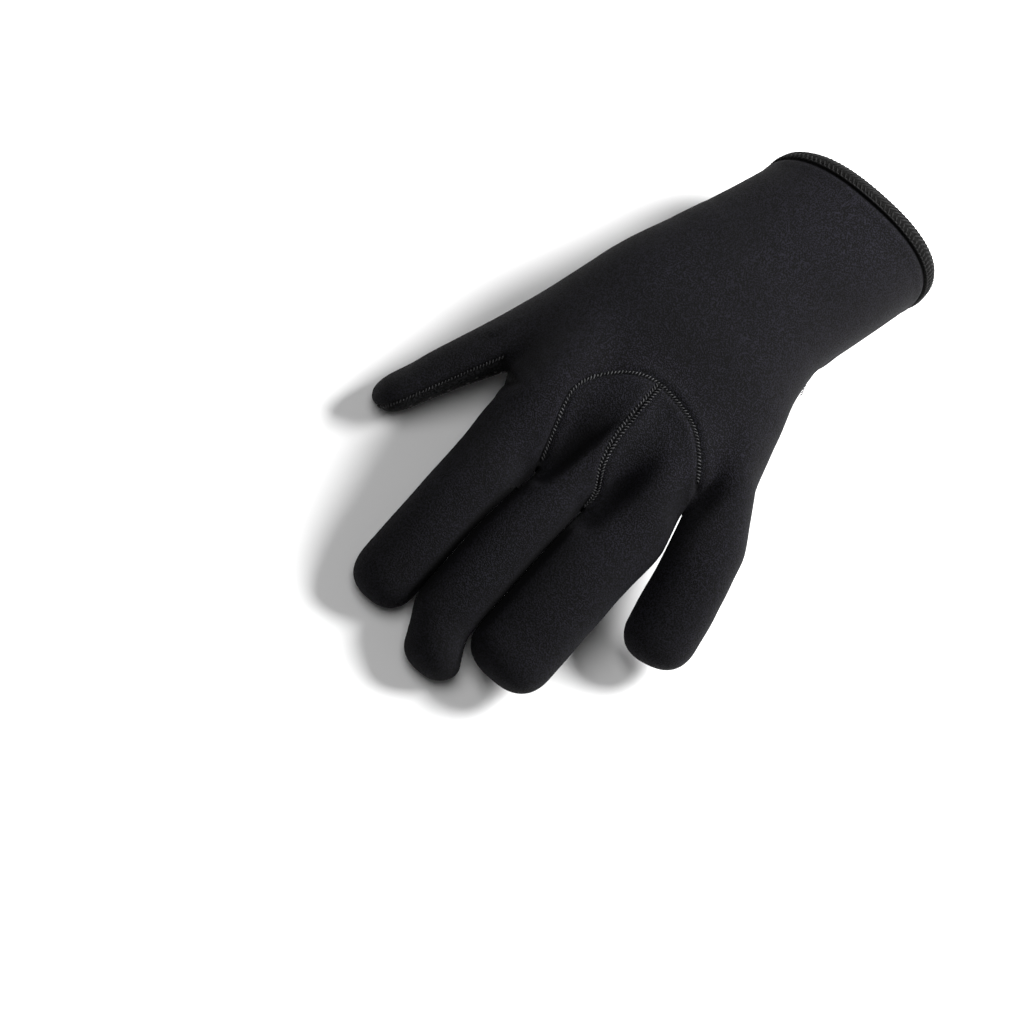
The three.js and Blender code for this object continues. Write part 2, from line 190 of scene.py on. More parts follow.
# The grid that the skin is worked out on, in mm: its lowest corner, its highest one past the middle
# fingertip, and how many of its layers are worked out at a time
GRID_LOW = (-7.0, -112.0, -42.0)
GRID_HIGH = (4.0, 84.0, 36.0)
GRID_LAYERS = 16
# How far the panels run in under the hem, in mm
UNDER_HEM = 1.4
# Heights in mm between which touching fingers start to roll back, and between which the cloth beside their gap starts
# to take the painted seam shade, as a painted shadow in the gap
ROLL_HEIGHTS = (1.0, 6.0)
PLAIN_HEIGHTS = (-3.0, 2.0)
# Width of the swelling beside a seam, as a share of its distance from it
PUFF_WIDTH = 0.6
# The little finger's root: how far back it starts and how low it lies there, as shares of the other fingers',
# and its width at its web as a share of its own
LITTLE_KNUCKLE = 0.7
LITTLE_LOW_ROOT = 0.45
LITTLE_WEB_WIDTH = 0.92
# Thickness of a stitch at its ends, as a share of its middle's
THREAD_END = 0.45
# Where no stitch is drawn beside a finger: from how far behind its web on and how near to the little finger in
# mm, and how far the skin faces sideways there
BEHIND_WEB = 3.0
LITTLE_TOUCHING = 1.0
SIDEWAYS = 0.5
# Slant of a stitch as a share of its pitch, the range of its uneven lengths, and how high its arc rises in mm
STITCH_SLANT = 0.36
STITCH_LENGTHS = (0.55, 1.15)
STITCH_RISE = 0.16
# Heights in mm that the rays of the upper and the lower seams start at
UPPER_RAYS = -2.0
LOWER_RAYS = -9.0
# The binding's section, from its outer edge round the rim to its inner edge. Distances from the rim are shares
# of the band and mm, and heights off the neoprene's outside are shares of its wall downwards and mm.
HEM_PROFILE = (
    # along, mm more, wall, mm more
    (1.0, 0.1, 0.0, -0.2),
    (1.0, -0.2, 0.0, 0.4),
    (0.72, 0.0, 0.0, 0.8),
    (0.4, 0.0, 0.0, 0.65),
    (0.0, 0.4, 0.0, 0.0),
    (0.0, -0.9, 0.0, -0.9),
    (0.0, -1.6, 0.5, -0.4),
    (0.0, -1.2, 1.0, -0.3),
    (0.0, 0.0, 1.0, -0.8),
    (0.5, 0.0, 1.0, -0.9),
    (1.0, -0.4, 1.0, -0.6),
    (1.0, 0.0, 1.0, 0.1),
)
# The overlock's threads: each end's shift round the hem in stitches, and its place as a share of the band
HEM_THREADS = (
    # shift, from, shift, to
    (0.0, -0.05, 1.3, 0.5),
    (1.3, 0.46, 0.5, 0.94),
    (0.0, 0.9, 0.95, 0.96),
)
# Turns round the hem at which its section is drawn, the height of its ripples as a share, and the rise of the
# hem's threads in mm
HEM_PLACES = 720
HEM_RIPPLE = 0.12
HEM_THREAD_RISE = 0.35
# Sides of a dot, and the slopes in degrees at which its rings lie on its half ellipse
DOT_SIDES = 10
DOT_RINGS = (-20.0, 12.0, 45.0, 75.0)
# How far inside the skin the dots' rays start, and how far before the thumb's tip the dots end, in mm
DOT_ROOM = 1.0
DOT_END = 8.0
# The lights: shares of the view's right, back and up in the way to the light, its distance and its width in
# metres, and its power in watts
LIGHTS = {
    # right, back, up, distance, width, power
    "key_light": (1.0, 0.34, 0.38, 0.75, 0.35, 14.5),
    "top_light": (0.0, 1.0, 0.4, 2.0, 1.3, 17.0),
}
SKY_STRENGTH = 0.09
# Half the floor's width in metres
FLOOR_REACH = 6.0


def length(name, millimetres, description):
    """A size property in metres, whose default is given in millimetres."""
    return bpy.props.FloatProperty(
        name=name, description=description, default=millimetres * METRES, min=0.0,
        unit="LENGTH", subtype="DISTANCE",
    )


def angle(name, degrees, description):
    """An angle property, whose default is given in degrees."""
    return bpy.props.FloatProperty(
        name=name, description=description, default=math.radians(degrees), unit="ROTATION", subtype="ANGLE"
    )


def colour(name, red, green, blue, description):
    """A colour property, in linear light."""
    return bpy.props.FloatVectorProperty(
        name=name, description=description, default=(red, green, blue), size=3,
        subtype="COLOR", min=0.0, max=1.0,
    )


class GloveSizes(bpy.types.PropertyGroup):
    cuff_length: length("Cuff length", 61, "From the hem to the wrist")
    palm_length: length("Palm length", 102, "From the wrist to the webs of the fingers")
    cuff_width: length("Cuff width", 74, "Width of the cuff at its hem")
    cuff_height: length("Cuff height", 60, "Height of the cuff at its hem")
    cuff_skew: length("Cuff skew", 15.2, "How far the wrist's middle lies to the thumb's side of the hem's")
    wrist_width: length("Wrist width", 80, "Width of the wrist")
    wrist_height: length("Wrist height", 49, "Height of the wrist")
    palm_breadth: length("Palm breadth", 91, "Breadth across the knuckles")
    palm_thickness: length("Palm thickness", 42, "Scale of the hand's height")
    neoprene_wall: length("Neoprene wall", 3, "Thickness of the neoprene")
    side_seam_drop: length("Side seam drop", 3, "How far the side seams lie under the middle surface")
    seam_gap: length("Seam gap", 0.36, "Gap between the panels of the frame")
    hem_edge: length("Hem edge", 5, "Distance of the hem's inner edge from the rim")
    binding_tape: length("Binding tape", 1.5, "Thickness of the frame's binding tape")
    rest_flat: length("Rest flat", 1, "How far the hem is pressed flat where the glove lies on it")


class DigitSizes(bpy.types.PropertyGroup):
    finger_gap: length("Finger gap", 0.8, "Gap between fingers that lie side by side")
    middle_across: length("Middle finger's place", 19.15, "Distance of the middle finger from the middle")
    index_reach: length("Index reach", 78, "Free length of the index finger")
    index_width: length("Index width", 25.4, "Width of the index finger")
    middle_reach: length("Middle reach", 86, "Free length of the middle finger")
    middle_width: length("Middle width", 24.9, "Width of the middle finger")
    ring_reach: length("Ring reach", 70.5, "Free length of the ring finger")
    ring_width: length("Ring width", 32.6, "Width of the ring finger")
    little_reach: length("Little reach", 60, "Free length of the little finger")
    little_width: length("Little width", 27.5, "Width of the little finger")
    little_web_step: length("Little web step", 31, "How far the little finger's web lies behind the others")
    finger_thickness: length("Finger thickness", 24, "Scale of the fingers' height")
    fingertip_length: length("Fingertip length", 15, "Length of a rounded fingertip")
    middle_drift: length("Middle drift", 6.6, "How far the middle fingertip leans over the ring finger's end")
    web_lean: length("Web lean", 3.4, "How far the web of the index finger leans to the little finger's side")
    thumb_length: length("Thumb length", 131.5, "Length of the thumb from the wrist")
    thumb_width: length("Thumb width", 25, "Scale of the thumb's width")
    thumb_thickness: length("Thumb thickness", 17.5, "Scale of the thumb's height")
    thumb_across: length("Thumb's place", 36.8, "Distance of the thumb's root from the hem's middle line")


class DigitAngles(bpy.types.PropertyGroup):
    little_splay: angle("Little splay", 15.5, "Lean of the little finger away from the hand")
    thumb_splay: angle("Thumb splay", 24.7, "Lean of the thumb away from the hand")
    thumb_pitch: angle("Thumb pitch", 10.1, "Lean of the thumb downwards")
    thumb_roll: angle("Thumb roll", 75, "Turn of the thumb about its length")


class SeamSizes(bpy.types.PropertyGroup):
    mesh_step: length("Mesh step", 1.0, "Size of the faces that the skin is worked out with")
    web_spread: length("Web spread", 4.5, "How far the fingers are parted while the skin is worked out")
    finger_closing: length("Finger closing", 0.78, "How much closer than their gap the fingers are pressed")
    # The cloth within the gap width rolls back into the gap and is also painted dark there, and within the gap shadow
    # it takes more painted shade.
    gap_width: length("Gap width", 1.9, "Half the width of the dark gap between touching fingers")
    gap_shadow: length("Gap shadow", 2.6, "Distance from that gap within which the cloth is darker")
    gap_relief: length("Gap relief", 0.9, "How far the cloth rolls back into that gap")
    groove_depth: length("Groove depth", 0.9, "Depth of the groove along a seam")
    groove_width: length("Groove width", 1.25, "Half the width of the groove along a seam")
    puff_height: length("Puff height", 0.35, "How far the neoprene swells beside a seam")
    puff_place: length("Puff place", 3.2, "Distance of that swelling from the seam")
    thread_radius: length("Thread radius", 0.25, "Half the thickness of the sewing thread")
    stitch_pitch: length("Stitch pitch", 1.3, "Distance from one stitch to the next")
    stitch_reach: length("Stitch reach", 0.68, "How far a stitch reaches to either side of its row")
    stitch_rows: length("Stitch rows", 0.85, "Distance of the two rows of the centre seam from its line")
    touching: length("Touching", 1.7, "Distance from another finger within which no stitch is drawn")
    hem_thread_radius: length("Hem thread radius", 0.36, "Half the thickness of the hem's thread")
    hem_pitch: length("Hem pitch", 1.9, "Distance between the overlock stitches of the hem")


class GripSizes(bpy.types.PropertyGroup):
    dot_pitch: length("Dot pitch", 4.4, "Distance between the dots of a row")
    dot_radius: length("Dot radius", 0.8, "Half the width of a dot")
    dot_height: length("Dot height", 0.5, "Height of a dot")
    dot_margin: length("Dot margin", 3.0, "Distance that the dots keep from a seam")


class GloveColours(bpy.types.PropertyGroup):
    neoprene: colour("Neoprene", 0.0036, 0.0034, 0.0052, "Colour of the jersey over the neoprene")
    grip_fabric: colour("Grip fabric", 0.0042, 0.0042, 0.0048, "Colour of the palm's knit")
    grip_dots: colour("Grip dots", 0.014, 0.014, 0.015, "Colour of the rubber dots")
    hem: colour("Hem", 0.0009, 0.0009, 0.0008, "Colour of the hem's binding")
    thread: colour("Thread", 0.05, 0.05, 0.053, "Colour of the sewing thread")
    floor: colour("Floor", 0.9, 0.9, 0.9, "Colour of the floor")


def in_millimetres(group):
    """The sizes of a property group as plain numbers in millimetres."""
    return SimpleNamespace(**{name: getattr(group, name) / METRES for name in type(group).__annotations__})


def smoothstep(low, high, value):
    """0 below low, 1 above high, and 3t^2 - 2t^3 between them."""
    t = np.clip((value - low) / (high - low), 0.0, 1.0)
    return t * t * (3.0 - 2.0 * t)


def smooth_least(a, b, width):
    """The lesser of two distances, rounded off by a quadratic where they differ by less than the width."""
    width = np.maximum(width, 1e-6)
    h = np.clip(width - np.abs(a - b), 0.0, None) / width
    return np.minimum(a, b) - h * h * width / 4.0


def smooth_line(points, steps=24):
    """A Catmull-Rom curve through the points, with steps places to a span."""
    points = np.asarray(points, float)
    padded = np.vstack([2 * points[0] - points[1], points, 2 * points[-1] - points[-2]])
    t = np.linspace(0.0, 1.0, steps, endpoint=False)[:, None]
    a, b, c, d = (padded[k:len(padded) - 3 + k, None, :] for k in range(4))
    curve = b + t * ((c - a) / 2 + t * (a - 2.5 * b + 2 * c - d / 2 + t * (1.5 * (b - c) + (d - a) / 2)))
    return np.vstack([curve.reshape(-1, points.shape[1]), points[-1:]])


def line_distance(places, line):
    """Distance of each place to an open line of points, and the side of it, positive to its left."""
    best = np.full(len(places), 1e9)
    side = np.ones(len(places))
    for a, b in zip(line[:-1], line[1:]):
        along = b - a
        from_a = places - a
        t = np.clip(from_a @ along / (along @ along), 0.0, 1.0)
        gap = np.hypot(from_a[:, 0] - t * along[0], from_a[:, 1] - t * along[1])
        nearer = gap < best
        best = np.where(nearer, gap, best)
        side = np.where(nearer, np.sign(along[0] * from_a[:, 1] - along[1] * from_a[:, 0]), side)
    return best, side


def fading(x, place, stretch):
    """0 before and 1 past a stretch that is given by distances from a place."""
    return smoothstep(place + stretch[0], place + stretch[1], x)


class Bend:
    """A line bent by slopes given at distances along it: its place is the running sum of its direction."""

    def __init__(self, places, slopes, start=-20.0, end=320.0, step=0.5):
        self.s = np.arange(start, end, step)
        middle = np.radians(np.interp(self.s + step / 2, places, slopes))
        self.slope = np.radians(np.interp(self.s, places, slopes))
        self.x = np.concatenate([[0.0], np.cumsum(np.cos(middle) * step)[:-1]])
        self.z = np.concatenate([[0.0], np.cumsum(np.sin(middle) * step)[:-1]])
        self.x -= np.interp(0.0, self.s, self.x)
        self.z -= np.interp(0.0, self.s, self.z)

    def at(self, s):
        return (np.interp(s, self.s, line) for line in (self.x, self.z, self.slope))


class Tube:
    """A rounded tube through rows of (along, side, other side, top, bottom) in its own frame.

    A section is a superellipse, and a tip shrinks it by another one along the tube. The rows are joined by
    straight lines that are then blurred along the tube.
    """

    def __init__(self, rows, squareness, frame_matrix=None, tip=None, blur=3.0, step=0.5):
        rows = np.asarray(rows, float)
        start, end = rows[0, 0], rows[-1, 0]
        self.start = start
        self.squareness = squareness
        self.matrix = np.eye(4) if frame_matrix is None else np.array(frame_matrix)
        self.inverse = np.linalg.inv(self.matrix)
        self.tip = tip
        self.round_start = end if tip is None else tip[0] - tip[1]
        self.s = np.arange(start - 40.0, max(end, self.round_start) + 40.0, step)
        weights = np.exp(-0.5 * (np.arange(-12, 13) * step / blur) ** 2)
        weights /= weights.sum()
        columns = [np.interp(self.s, rows[:, 0], column) for column in rows[:, 1:].T]
        self.columns = [np.convolve(np.pad(column, 12, "edge"), weights, "valid") for column in columns]

    def section(self, s):
        return (np.interp(s, self.s, column) for column in self.columns)

    def local(self, points):
        return points @ self.inverse[:3, :3].T + self.inverse[:3, 3]

    def distance(self, points):
        """About the distance to the tube: r - r / g, where g is 1 on the surface and grows evenly outwards.

        r is the distance from the tube's line.
        """
        x, y, z = self.local(points).T
        side, other, top, bottom = self.section(x)
        half = (other - side) / 2.0
        across = y - (side + other) / 2.0
        height = np.where(z > 0, top, bottom)
        power = self.squareness
        g = (np.abs(across / half) ** power + np.abs(z / height) ** power) ** (1.0 / power)
        r = np.hypot(across, z)
        if self.tip is not None:
            past = np.clip(x - self.round_start, 0.0, None)
            power = FINGERTIP_SQUARENESS
            g = (g ** power + (past / self.tip[1]) ** power) ** (1.0 / power)
            r = np.hypot(r, past)
        return np.maximum(r - r / np.maximum(g, 1e-3), self.start - x)


class Glove:
    """The glove's pattern: its skin as a field of distances, its seams, and the pose of the hand."""

    def __init__(self, scene):
        self.hand = hand = in_millimetres(scene.glove_sizes)
        self.digit = digit = in_millimetres(scene.digit_sizes)
        self.seam = in_millimetres(scene.seam_sizes)
        angles = scene.digit_angles
        self.little_splay = angles.little_splay
        self.root_line = hand.cuff_length + hand.palm_length
        self.little_web = self.root_line - digit.little_web_step
        middle = -digit.middle_across
        gap = digit.finger_gap
        self.index_middle_gap = middle - digit.middle_width / 2 - gap / 2
        self.middle_ring_gap = middle + digit.middle_width / 2 + gap / 2
        self.index_edge = self.index_middle_gap - digit.index_width - 2 * gap
        index_across = self.index_middle_gap - gap / 2 - digit.index_width / 2
        ring_side = self.middle_ring_gap + gap / 2
        self.little_gap_at_web = ring_side + RING_AT_LITTLE_WEB * digit.ring_width
        self.palm_thumb_side = index_across - digit.index_width / 2 - HAND_PAST_INDEX * hand.palm_breadth
        self.sleeve = Tube(self.sleeve_rows(), SLEEVE_SQUARENESS, blur=3.0)

        def ring_widest(along):
            x = max(self.root_line + along, self.little_web)
            return self.ring_little_gap(x) - gap / 2 - ring_side

        root = self.root_line
        little_out = (gap / 2 + digit.little_width / 2) / math.cos(self.little_splay)
        self.origins = {
            "index": (root, index_across, 0.0),
            "middle": (root, middle, 0.0),
            "ring": (root, ring_side + digit.ring_width / 2, 0.0),
            "little": (self.little_web, self.little_gap_at_web + little_out, 0.0),
            "thumb": (hand.cuff_length, -digit.thumb_across, 0.0),
        }
        self.reach = {
            "index": digit.index_reach,
            "middle": digit.middle_reach,
            "ring": digit.ring_reach,
            "little": digit.little_reach,
            "thumb": digit.thumb_length,
        }
        rows = {
            "index": self.finger_rows(digit.index_width, digit.index_reach),
            "middle": self.finger_rows(digit.middle_width, digit.middle_reach),
            "ring": self.finger_rows(digit.ring_width, digit.ring_reach, straight=-1, widest=ring_widest),
            "little": self.finger_rows(
                digit.little_width, digit.little_reach, knuckle=LITTLE_KNUCKLE, low_root=LITTLE_LOW_ROOT, straight=-1,
                widest=lambda along: digit.little_width * min(1, LITTLE_WEB_WIDTH + along / hand.palm_length),
            ),
            "thumb": [
                (r * digit.thumb_length, -w * digit.thumb_width / 2, w * digit.thumb_width / 2,
                 top * digit.thumb_thickness, bottom * digit.thumb_thickness)
                for r, w, top, bottom in THUMB_ROWS
            ],
        }
        turns = {name: Matrix.Identity(4) for name in rows}
        turns["little"] = Matrix.Rotation(angles.little_splay, 4, "Z")
        turns["thumb"] = (
            Matrix.Rotation(-angles.thumb_splay, 4, "Z")
            @ Matrix.Rotation(angles.thumb_pitch, 4, "Y")
            @ Matrix.Rotation(angles.thumb_roll, 4, "X")
        )
        self.digits = {
            name: Tube(
                rows[name], DIGIT_SQUARENESS, Matrix.Translation(self.origins[name]) @ turns[name],
                tip=(self.reach[name], digit.fingertip_length),
            )
            for name in rows
        }
        cuff, palm = hand.cuff_length, hand.palm_length
        places = [a * cuff for a, _ in CUFF_SLOPES] + [cuff + a * palm for a, _ in PALM_SLOPES]
        self.hand_arch = Bend(places, [slope for _, slope in CUFF_SLOPES + PALM_SLOPES])
        self.curls = {
            name: Bend([a * self.reach[name] for a in CURL_PLACES], slopes) for name, slopes in CURLS.items()
        }
        self.place_in_frame()
        self.draw_seams()

    def sleeve_rows(self):
        hand = self.hand
        wrist = (-hand.cuff_skew - hand.wrist_width / 2, -hand.cuff_skew + hand.wrist_width / 2)
        rows = []
        for along, side, height in CUFF_ROWS:
            half_height = (hand.cuff_height + (hand.wrist_height - hand.cuff_height) * height) / 2
            rows.append((
                along * hand.cuff_length,
                -hand.cuff_width / 2 * (1 - side) + wrist[0] * side,
                hand.cuff_width / 2 * (1 - side) + wrist[1] * side,
                half_height,
                half_height,
            ))
        for along, thumb_side, little_side, top, bottom in PALM_ROWS:
            rows.append((
                hand.cuff_length + along * hand.palm_length,
                self.palm_thumb_side + thumb_side * hand.palm_breadth,
                self.palm_thumb_side + (1 + little_side) * hand.palm_breadth,
                top * hand.palm_thickness,
                bottom * hand.palm_thickness,
            ))
        # The skin runs on behind the hem, where it is cut off.
        first, second = rows[0], rows[1]
        behind = tuple(a - (b - a) for a, b in zip(first, second))
        return [behind] + rows

    def finger_rows(self, width, reach, knuckle=1.0, low_root=0.0, straight=0, widest=lambda along: math.inf):
        """Rows of a finger. A straight side keeps its line where the other one is held back by widest."""
        def row(along, share, top, bottom, back=0.0):
            full = min(width * share, widest(along))
            shift = straight * (width - full) / 2
            height = self.digit.finger_thickness * (1 - low_root * back)
            return (along, shift - full / 2, shift + full / 2, top * height, bottom * height)

        palm = self.hand.palm_length
        behind = [row(-knuckle * b * palm, w, top, bottom, b) for b, w, top, bottom in KNUCKLE_ROWS]
        return behind + [row(r * reach, w, top, bottom) for r, w, top, bottom in FINGER_ROWS]

    def ring_little_gap(self, x):
        return self.little_gap_at_web + (x - self.little_web) * math.tan(self.little_splay)

    def parting(self, x):
        """How far each finger is moved aside at a distance x while the skin is worked out."""
        spread = self.seam.web_spread
        at_root = spread * fading(x, self.root_line, PARTING_FADE)
        at_little = spread * fading(x, self.little_web, LITTLE_PARTING_FADE)
        return {"index": -at_root, "middle": 0 * x, "ring": at_root, "little": at_root + at_little}

    def closing(self, x):
        """How much closer than their gap the fingers lie against each other past their webs."""
        return self.seam.finger_closing * fading(x, self.root_line, CLOSING_FADE)

    def gathered(self, points):
        """Points of the parted skin, with the fingers moved back beside each other and the gaps closed."""
        x, y, z = points.T
        moved = self.parting(x)
        closer = self.closing(x)
        back = {
            "index": moved["index"] - closer,
            "middle": moved["middle"],
            "ring": moved["ring"] + closer,
            "little": moved["little"] + closer,
        }
        half = self.digit.finger_gap / 2
        pairs = (
            ("index", "middle", self.index_middle_gap),
            ("middle", "ring", self.middle_ring_gap),
            ("ring", "little", self.ring_little_gap(x)),
        )
        thumb_edge = self.index_edge - self.seam.web_spread
        result = y - back["index"] * (y > thumb_edge)
        for low, high, line in pairs:
            a = line - half + moved[low]
            b = line + half + moved[high]
            t = np.clip((y - a) / (b - a), 0.0, 1.0)
            result = result + (back[low] - back[high]) * t
        return np.stack([x, result, z], 1)

    def distance(self, points):
        """The parted skin's field: the sleeve and the digits, joined by rounded unions at their roots.

        It is read higher up over the valleys, so that the back of the hand sinks there.
        """
        x = points[:, 0]
        gathered = self.gathered(points)
        points = points.copy()
        points[:, 2] += self.valley_depth(gathered)
        gathered[:, 2] = points[:, 2]
        result = self.sleeve.distance(gathered)
        result = np.maximum(result, x - self.root_line)
        moved = self.parting(x)
        for name in ("index", "middle", "ring", "little"):
            own = points.copy()
            own[:, 1] -= moved[name]
            web = self.little_web if name == "little" else self.root_line
            wide, narrower = FINGER_UNION
            width = wide - narrower * fading(x, web, UNION_FADE)
            result = smooth_least(result, self.digits[name].distance(own), width)
        thumb = self.digits["thumb"]
        root, crotch = (share * thumb.tip[0] for share in (THUMB_ROOT, THUMB_CROTCH))
        wide, narrower = THUMB_UNION
        width = wide - narrower * smoothstep(root, crotch, thumb.local(points)[:, 0])
        return smooth_least(result, thumb.distance(points), width)

    def slope_of(self, points, reach=0.4):
        """Gradient of the field, from its differences along the axes."""
        rises = [self.distance(points + s) - self.distance(points - s) for s in np.eye(3) * reach]
        return np.stack(rises, 1) / (2 * reach)

    def onto_skin(self, points, rounds=3):
        """Points moved along the gradient until the field is zero there."""
        for _ in range(rounds):
            slope = self.slope_of(points)
            step = self.distance(points) / np.maximum((slope ** 2).sum(1), 0.05)
            points = points - slope * np.clip(step, -0.8, 0.8)[:, None]
        return points

    def normals(self, points):
        slope = self.slope_of(points)
        return slope / np.maximum(np.linalg.norm(slope, axis=1), 1e-9)[:, None]

    def cast(self, origins, directions, furthest=70.0):
        """The skin's points that rays from inside the glove reach, found by halving each ray's distance."""
        origins, directions = np.broadcast_arrays(np.asarray(origins, float), np.asarray(directions, float))
        low = np.zeros(len(origins))
        marched = np.linspace(0.0, furthest, 141)[1:]
        outside = np.stack([self.distance(origins + directions * s) > 0 for s in marched], 1)
        first = marched[outside.argmax(1)]
        low, high = first - marched[0], first
        for _ in range(14):
            middle = (low + high) / 2
            out = self.distance(origins + directions * middle[:, None]) > 0
            low, high = np.where(out, low, middle), np.where(out, middle, high)
        return origins + directions * ((low + high) / 2)[:, None]

    # Pose

    def curl_up(self, points):
        """Fingers bent along their own lines, each from its web on."""
        x, y, z = points.T
        closer = self.closing(x)
        lower, upper = self.index_middle_gap + closer / 2, self.middle_ring_gap - closer / 2
        owner = np.select(
            [y > self.ring_little_gap(x) - closer, y > upper, y > lower, y > self.index_edge],
            ["little", "ring", "middle", "index"], "none",
        )
        result = points.copy()
        for name, bend in self.curls.items():
            splay = self.little_splay if name == "little" else 0.0
            along = np.array([math.cos(splay), math.sin(splay)])
            origin = np.array(self.origins[name][:2])
            s = (points[:, :2] - origin) @ along
            own = (owner == name) & (s > 0)
            sideways = (points[:, :2] - origin) @ np.array([-along[1], along[0]])
            if name == "middle":
                start, end = (self.reach[name] - place for place in LEAN_PLACES)
                sideways = sideways + self.digit.middle_drift * smoothstep(start, end, s)
            place, lift, slope = bend.at(s)
            forward = place - z * np.sin(slope)
            result[own, 0] = (origin[0] + forward * along[0] - sideways * along[1])[own]
            result[own, 1] = (origin[1] + forward * along[1] + sideways * along[0])[own]
            result[own, 2] = (lift + z * np.cos(slope))[own]
        return result

    def place_in_frame(self):
        """The hem's place in the frame, from the box of the frame's binding."""
        hand = self.hand
        cover = hand.seam_gap + hand.binding_tape
        slope = math.radians(CUFF_SLOPES[0][1])
        edge = hand.cuff_height / 2 + cover
        self.hem_height = edge * math.cos(slope) - hand.rest_flat
        low, high = (np.array(corner) / METRES for corner in HEM_BOX)
        hem_x = low[0] + cover * math.cos(slope) + edge * math.sin(slope)
        self.shift = np.array([hem_x, (low[1] + high[1]) / 2, 0.0])

    def posed(self, points):
        """Gathered points bent over the arch of the hand and laid on the floor, in metres in the frame."""
        level = self.curl_up(points)
        place, lift, slope = self.hand_arch.at(level[:, 0])
        height = self.hem_height + lift + level[:, 2] * np.cos(slope)
        pressed = np.maximum(height, 0.0)
        result = np.stack([place - level[:, 2] * np.sin(slope), level[:, 1], pressed], 1)
        return (result + self.shift) * METRES

    def finished(self, points):
        return self.posed(self.leaned(self.gathered(points)))

    def leaned(self, points):
        """The web of the index finger drawn to the little finger's side, by a bell curve round it."""
        past, width, squeeze = LEAN_BELL
        along = points[:, 0] - self.root_line - past
        across = points[:, 1] - self.index_middle_gap
        result = points.copy()
        result[:, 1] += self.digit.web_lean * np.exp(-(along ** 2 + squeeze * across ** 2) / width ** 2)
        return result

    def between_fingers(self, points, width):
        """1 on the sides of fingers that lie side by side and 0 away from them, for gathered points."""
        x, y, _ = points.T
        result = np.zeros(len(points))
        for line, shorter in ((self.index_middle_gap, "index"), (self.middle_ring_gap, "ring")):
            tip = self.root_line + self.reach[shorter] - self.digit.fingertip_length
            along = fading(x, self.root_line, BESIDE_FADE) * (1 - fading(x, tip, TIP_FADE))
            result = np.maximum(result, along * np.exp(-((y - line) / width) ** 2))
        return result

    def valley_depth(self, points):
        """How deep the back of the hand sinks at gathered places: bell curves across each valley."""
        deep = np.zeros(len(points))
        for a, b, c, d, depth, width, other in VALLEYS:
            start, end = self.on_plan([(a, b), (c, d)])
            along = end - start
            t = (points[:, :2] - start) @ along / (along @ along)
            gap, side = line_distance(points[:, :2], np.array([end, start]))
            wide = np.where(side < 0, width, other) * self.hand.palm_breadth
            fade = 1 - smoothstep(VALLEY_FADE, 1.0, t)
            deep += depth * self.hand.palm_thickness * fade * np.exp(-(gap / wide) ** 2)
        return deep * smoothstep(*VALLEY_HEIGHTS, points[:, 2])

    # Seams

    def on_plan(self, shares):
        shares = np.asarray(shares, float)
        return np.stack([
            self.hand.cuff_length + shares[:, 0] * self.hand.palm_length,
            self.palm_thumb_side + shares[:, 1] * self.hand.palm_breadth,
        ], 1)

    def thumb_on_plan(self, share, out):
        thumb = self.digits["thumb"].matrix
        place = thumb[:2, 3] + thumb[:2, 0] * share * self.digit.thumb_length
        splay = math.atan2(-thumb[1, 0], thumb[0, 0])
        return place + out * np.array([math.sin(splay), math.cos(splay)])

    def draw_seams(self):
        """Seam lines seen from above, as smooth curves through their points."""
        root = [self.root_line, self.index_middle_gap]
        web = [self.little_web, self.ring_little_gap(self.little_web)]
        self.arch = smooth_line(np.vstack([root, self.on_plan(ARCH_SEAM), web]))
        far_root = [self.root_line, self.middle_ring_gap]
        self.centre = smooth_line(np.vstack([self.on_plan(CENTRE_SEAM), far_root]))
        thumb_side = [
            self.thumb_on_plan(THUMB_SEAM_START, 0.0),
            self.thumb_on_plan(THUMB_CROTCH, -0.02 * self.digit.thumb_width),
        ]
        self.heel = smooth_line(np.vstack([self.on_plan(HEEL_SEAM), thumb_side]))
        self.cuff_line = smooth_line(self.on_plan(CUFF_SEAM))

    def palm_share(self, points):
        """Positive on the palm panel: under the side seams past the heel's line, or on the thumb's strip."""
        drop = self.hand.side_seam_drop
        gap, side = line_distance(points[:, :2], self.heel)
        beyond_heel = gap * np.where(side > 0, 1.0, -1.0)
        local = self.digits["thumb"].local(points)
        crotch = THUMB_CROTCH * self.digit.thumb_length
        strip_face = THUMB_STRIP * self.digit.thumb_thickness
        splay = math.atan2(-self.digits["thumb"].matrix[1, 0], self.digits["thumb"].matrix[0, 0])
        edge = self.thumb_on_plan(THUMB_CROTCH, strip_face)
        inward = (points[:, :2] - edge) @ np.array([math.sin(splay), math.cos(splay)])
        beyond_heel = np.where(local[:, 0] > crotch, inward, beyond_heel)
        hand = np.minimum(beyond_heel, -drop - points[:, 2])
        strip = np.minimum(np.minimum(local[:, 0] - crotch, -drop - local[:, 2]), strip_face + local[:, 2])
        return np.maximum(hand, strip)

    def insert_share(self, points):
        """Positive on the knuckle insert and the backs of the middle and the ring finger."""
        x, y, z = points.T
        gap, side = line_distance(points[:, :2], self.arch)
        inside = gap * np.where(side < 0, 1.0, -1.0)
        past_index = y - self.index_middle_gap
        past_little = self.ring_little_gap(x) - y
        web = np.where(y > self.middle_ring_gap, self.little_web, self.root_line)
        fingers = np.minimum(past_index, past_little)
        inside = np.where(x > web, fingers, inside)
        return np.minimum(inside, z + self.hand.side_seam_drop)

    def ring_share(self, points):
        """Positive on the ring finger's side of the centre seam."""
        gap, side = line_distance(points[:, :2], self.centre)
        centre = gap * np.where(side > 0, 1.0, -1.0)
        return np.where(points[:, 0] > self.root_line, points[:, 1] - self.middle_ring_gap, centre)

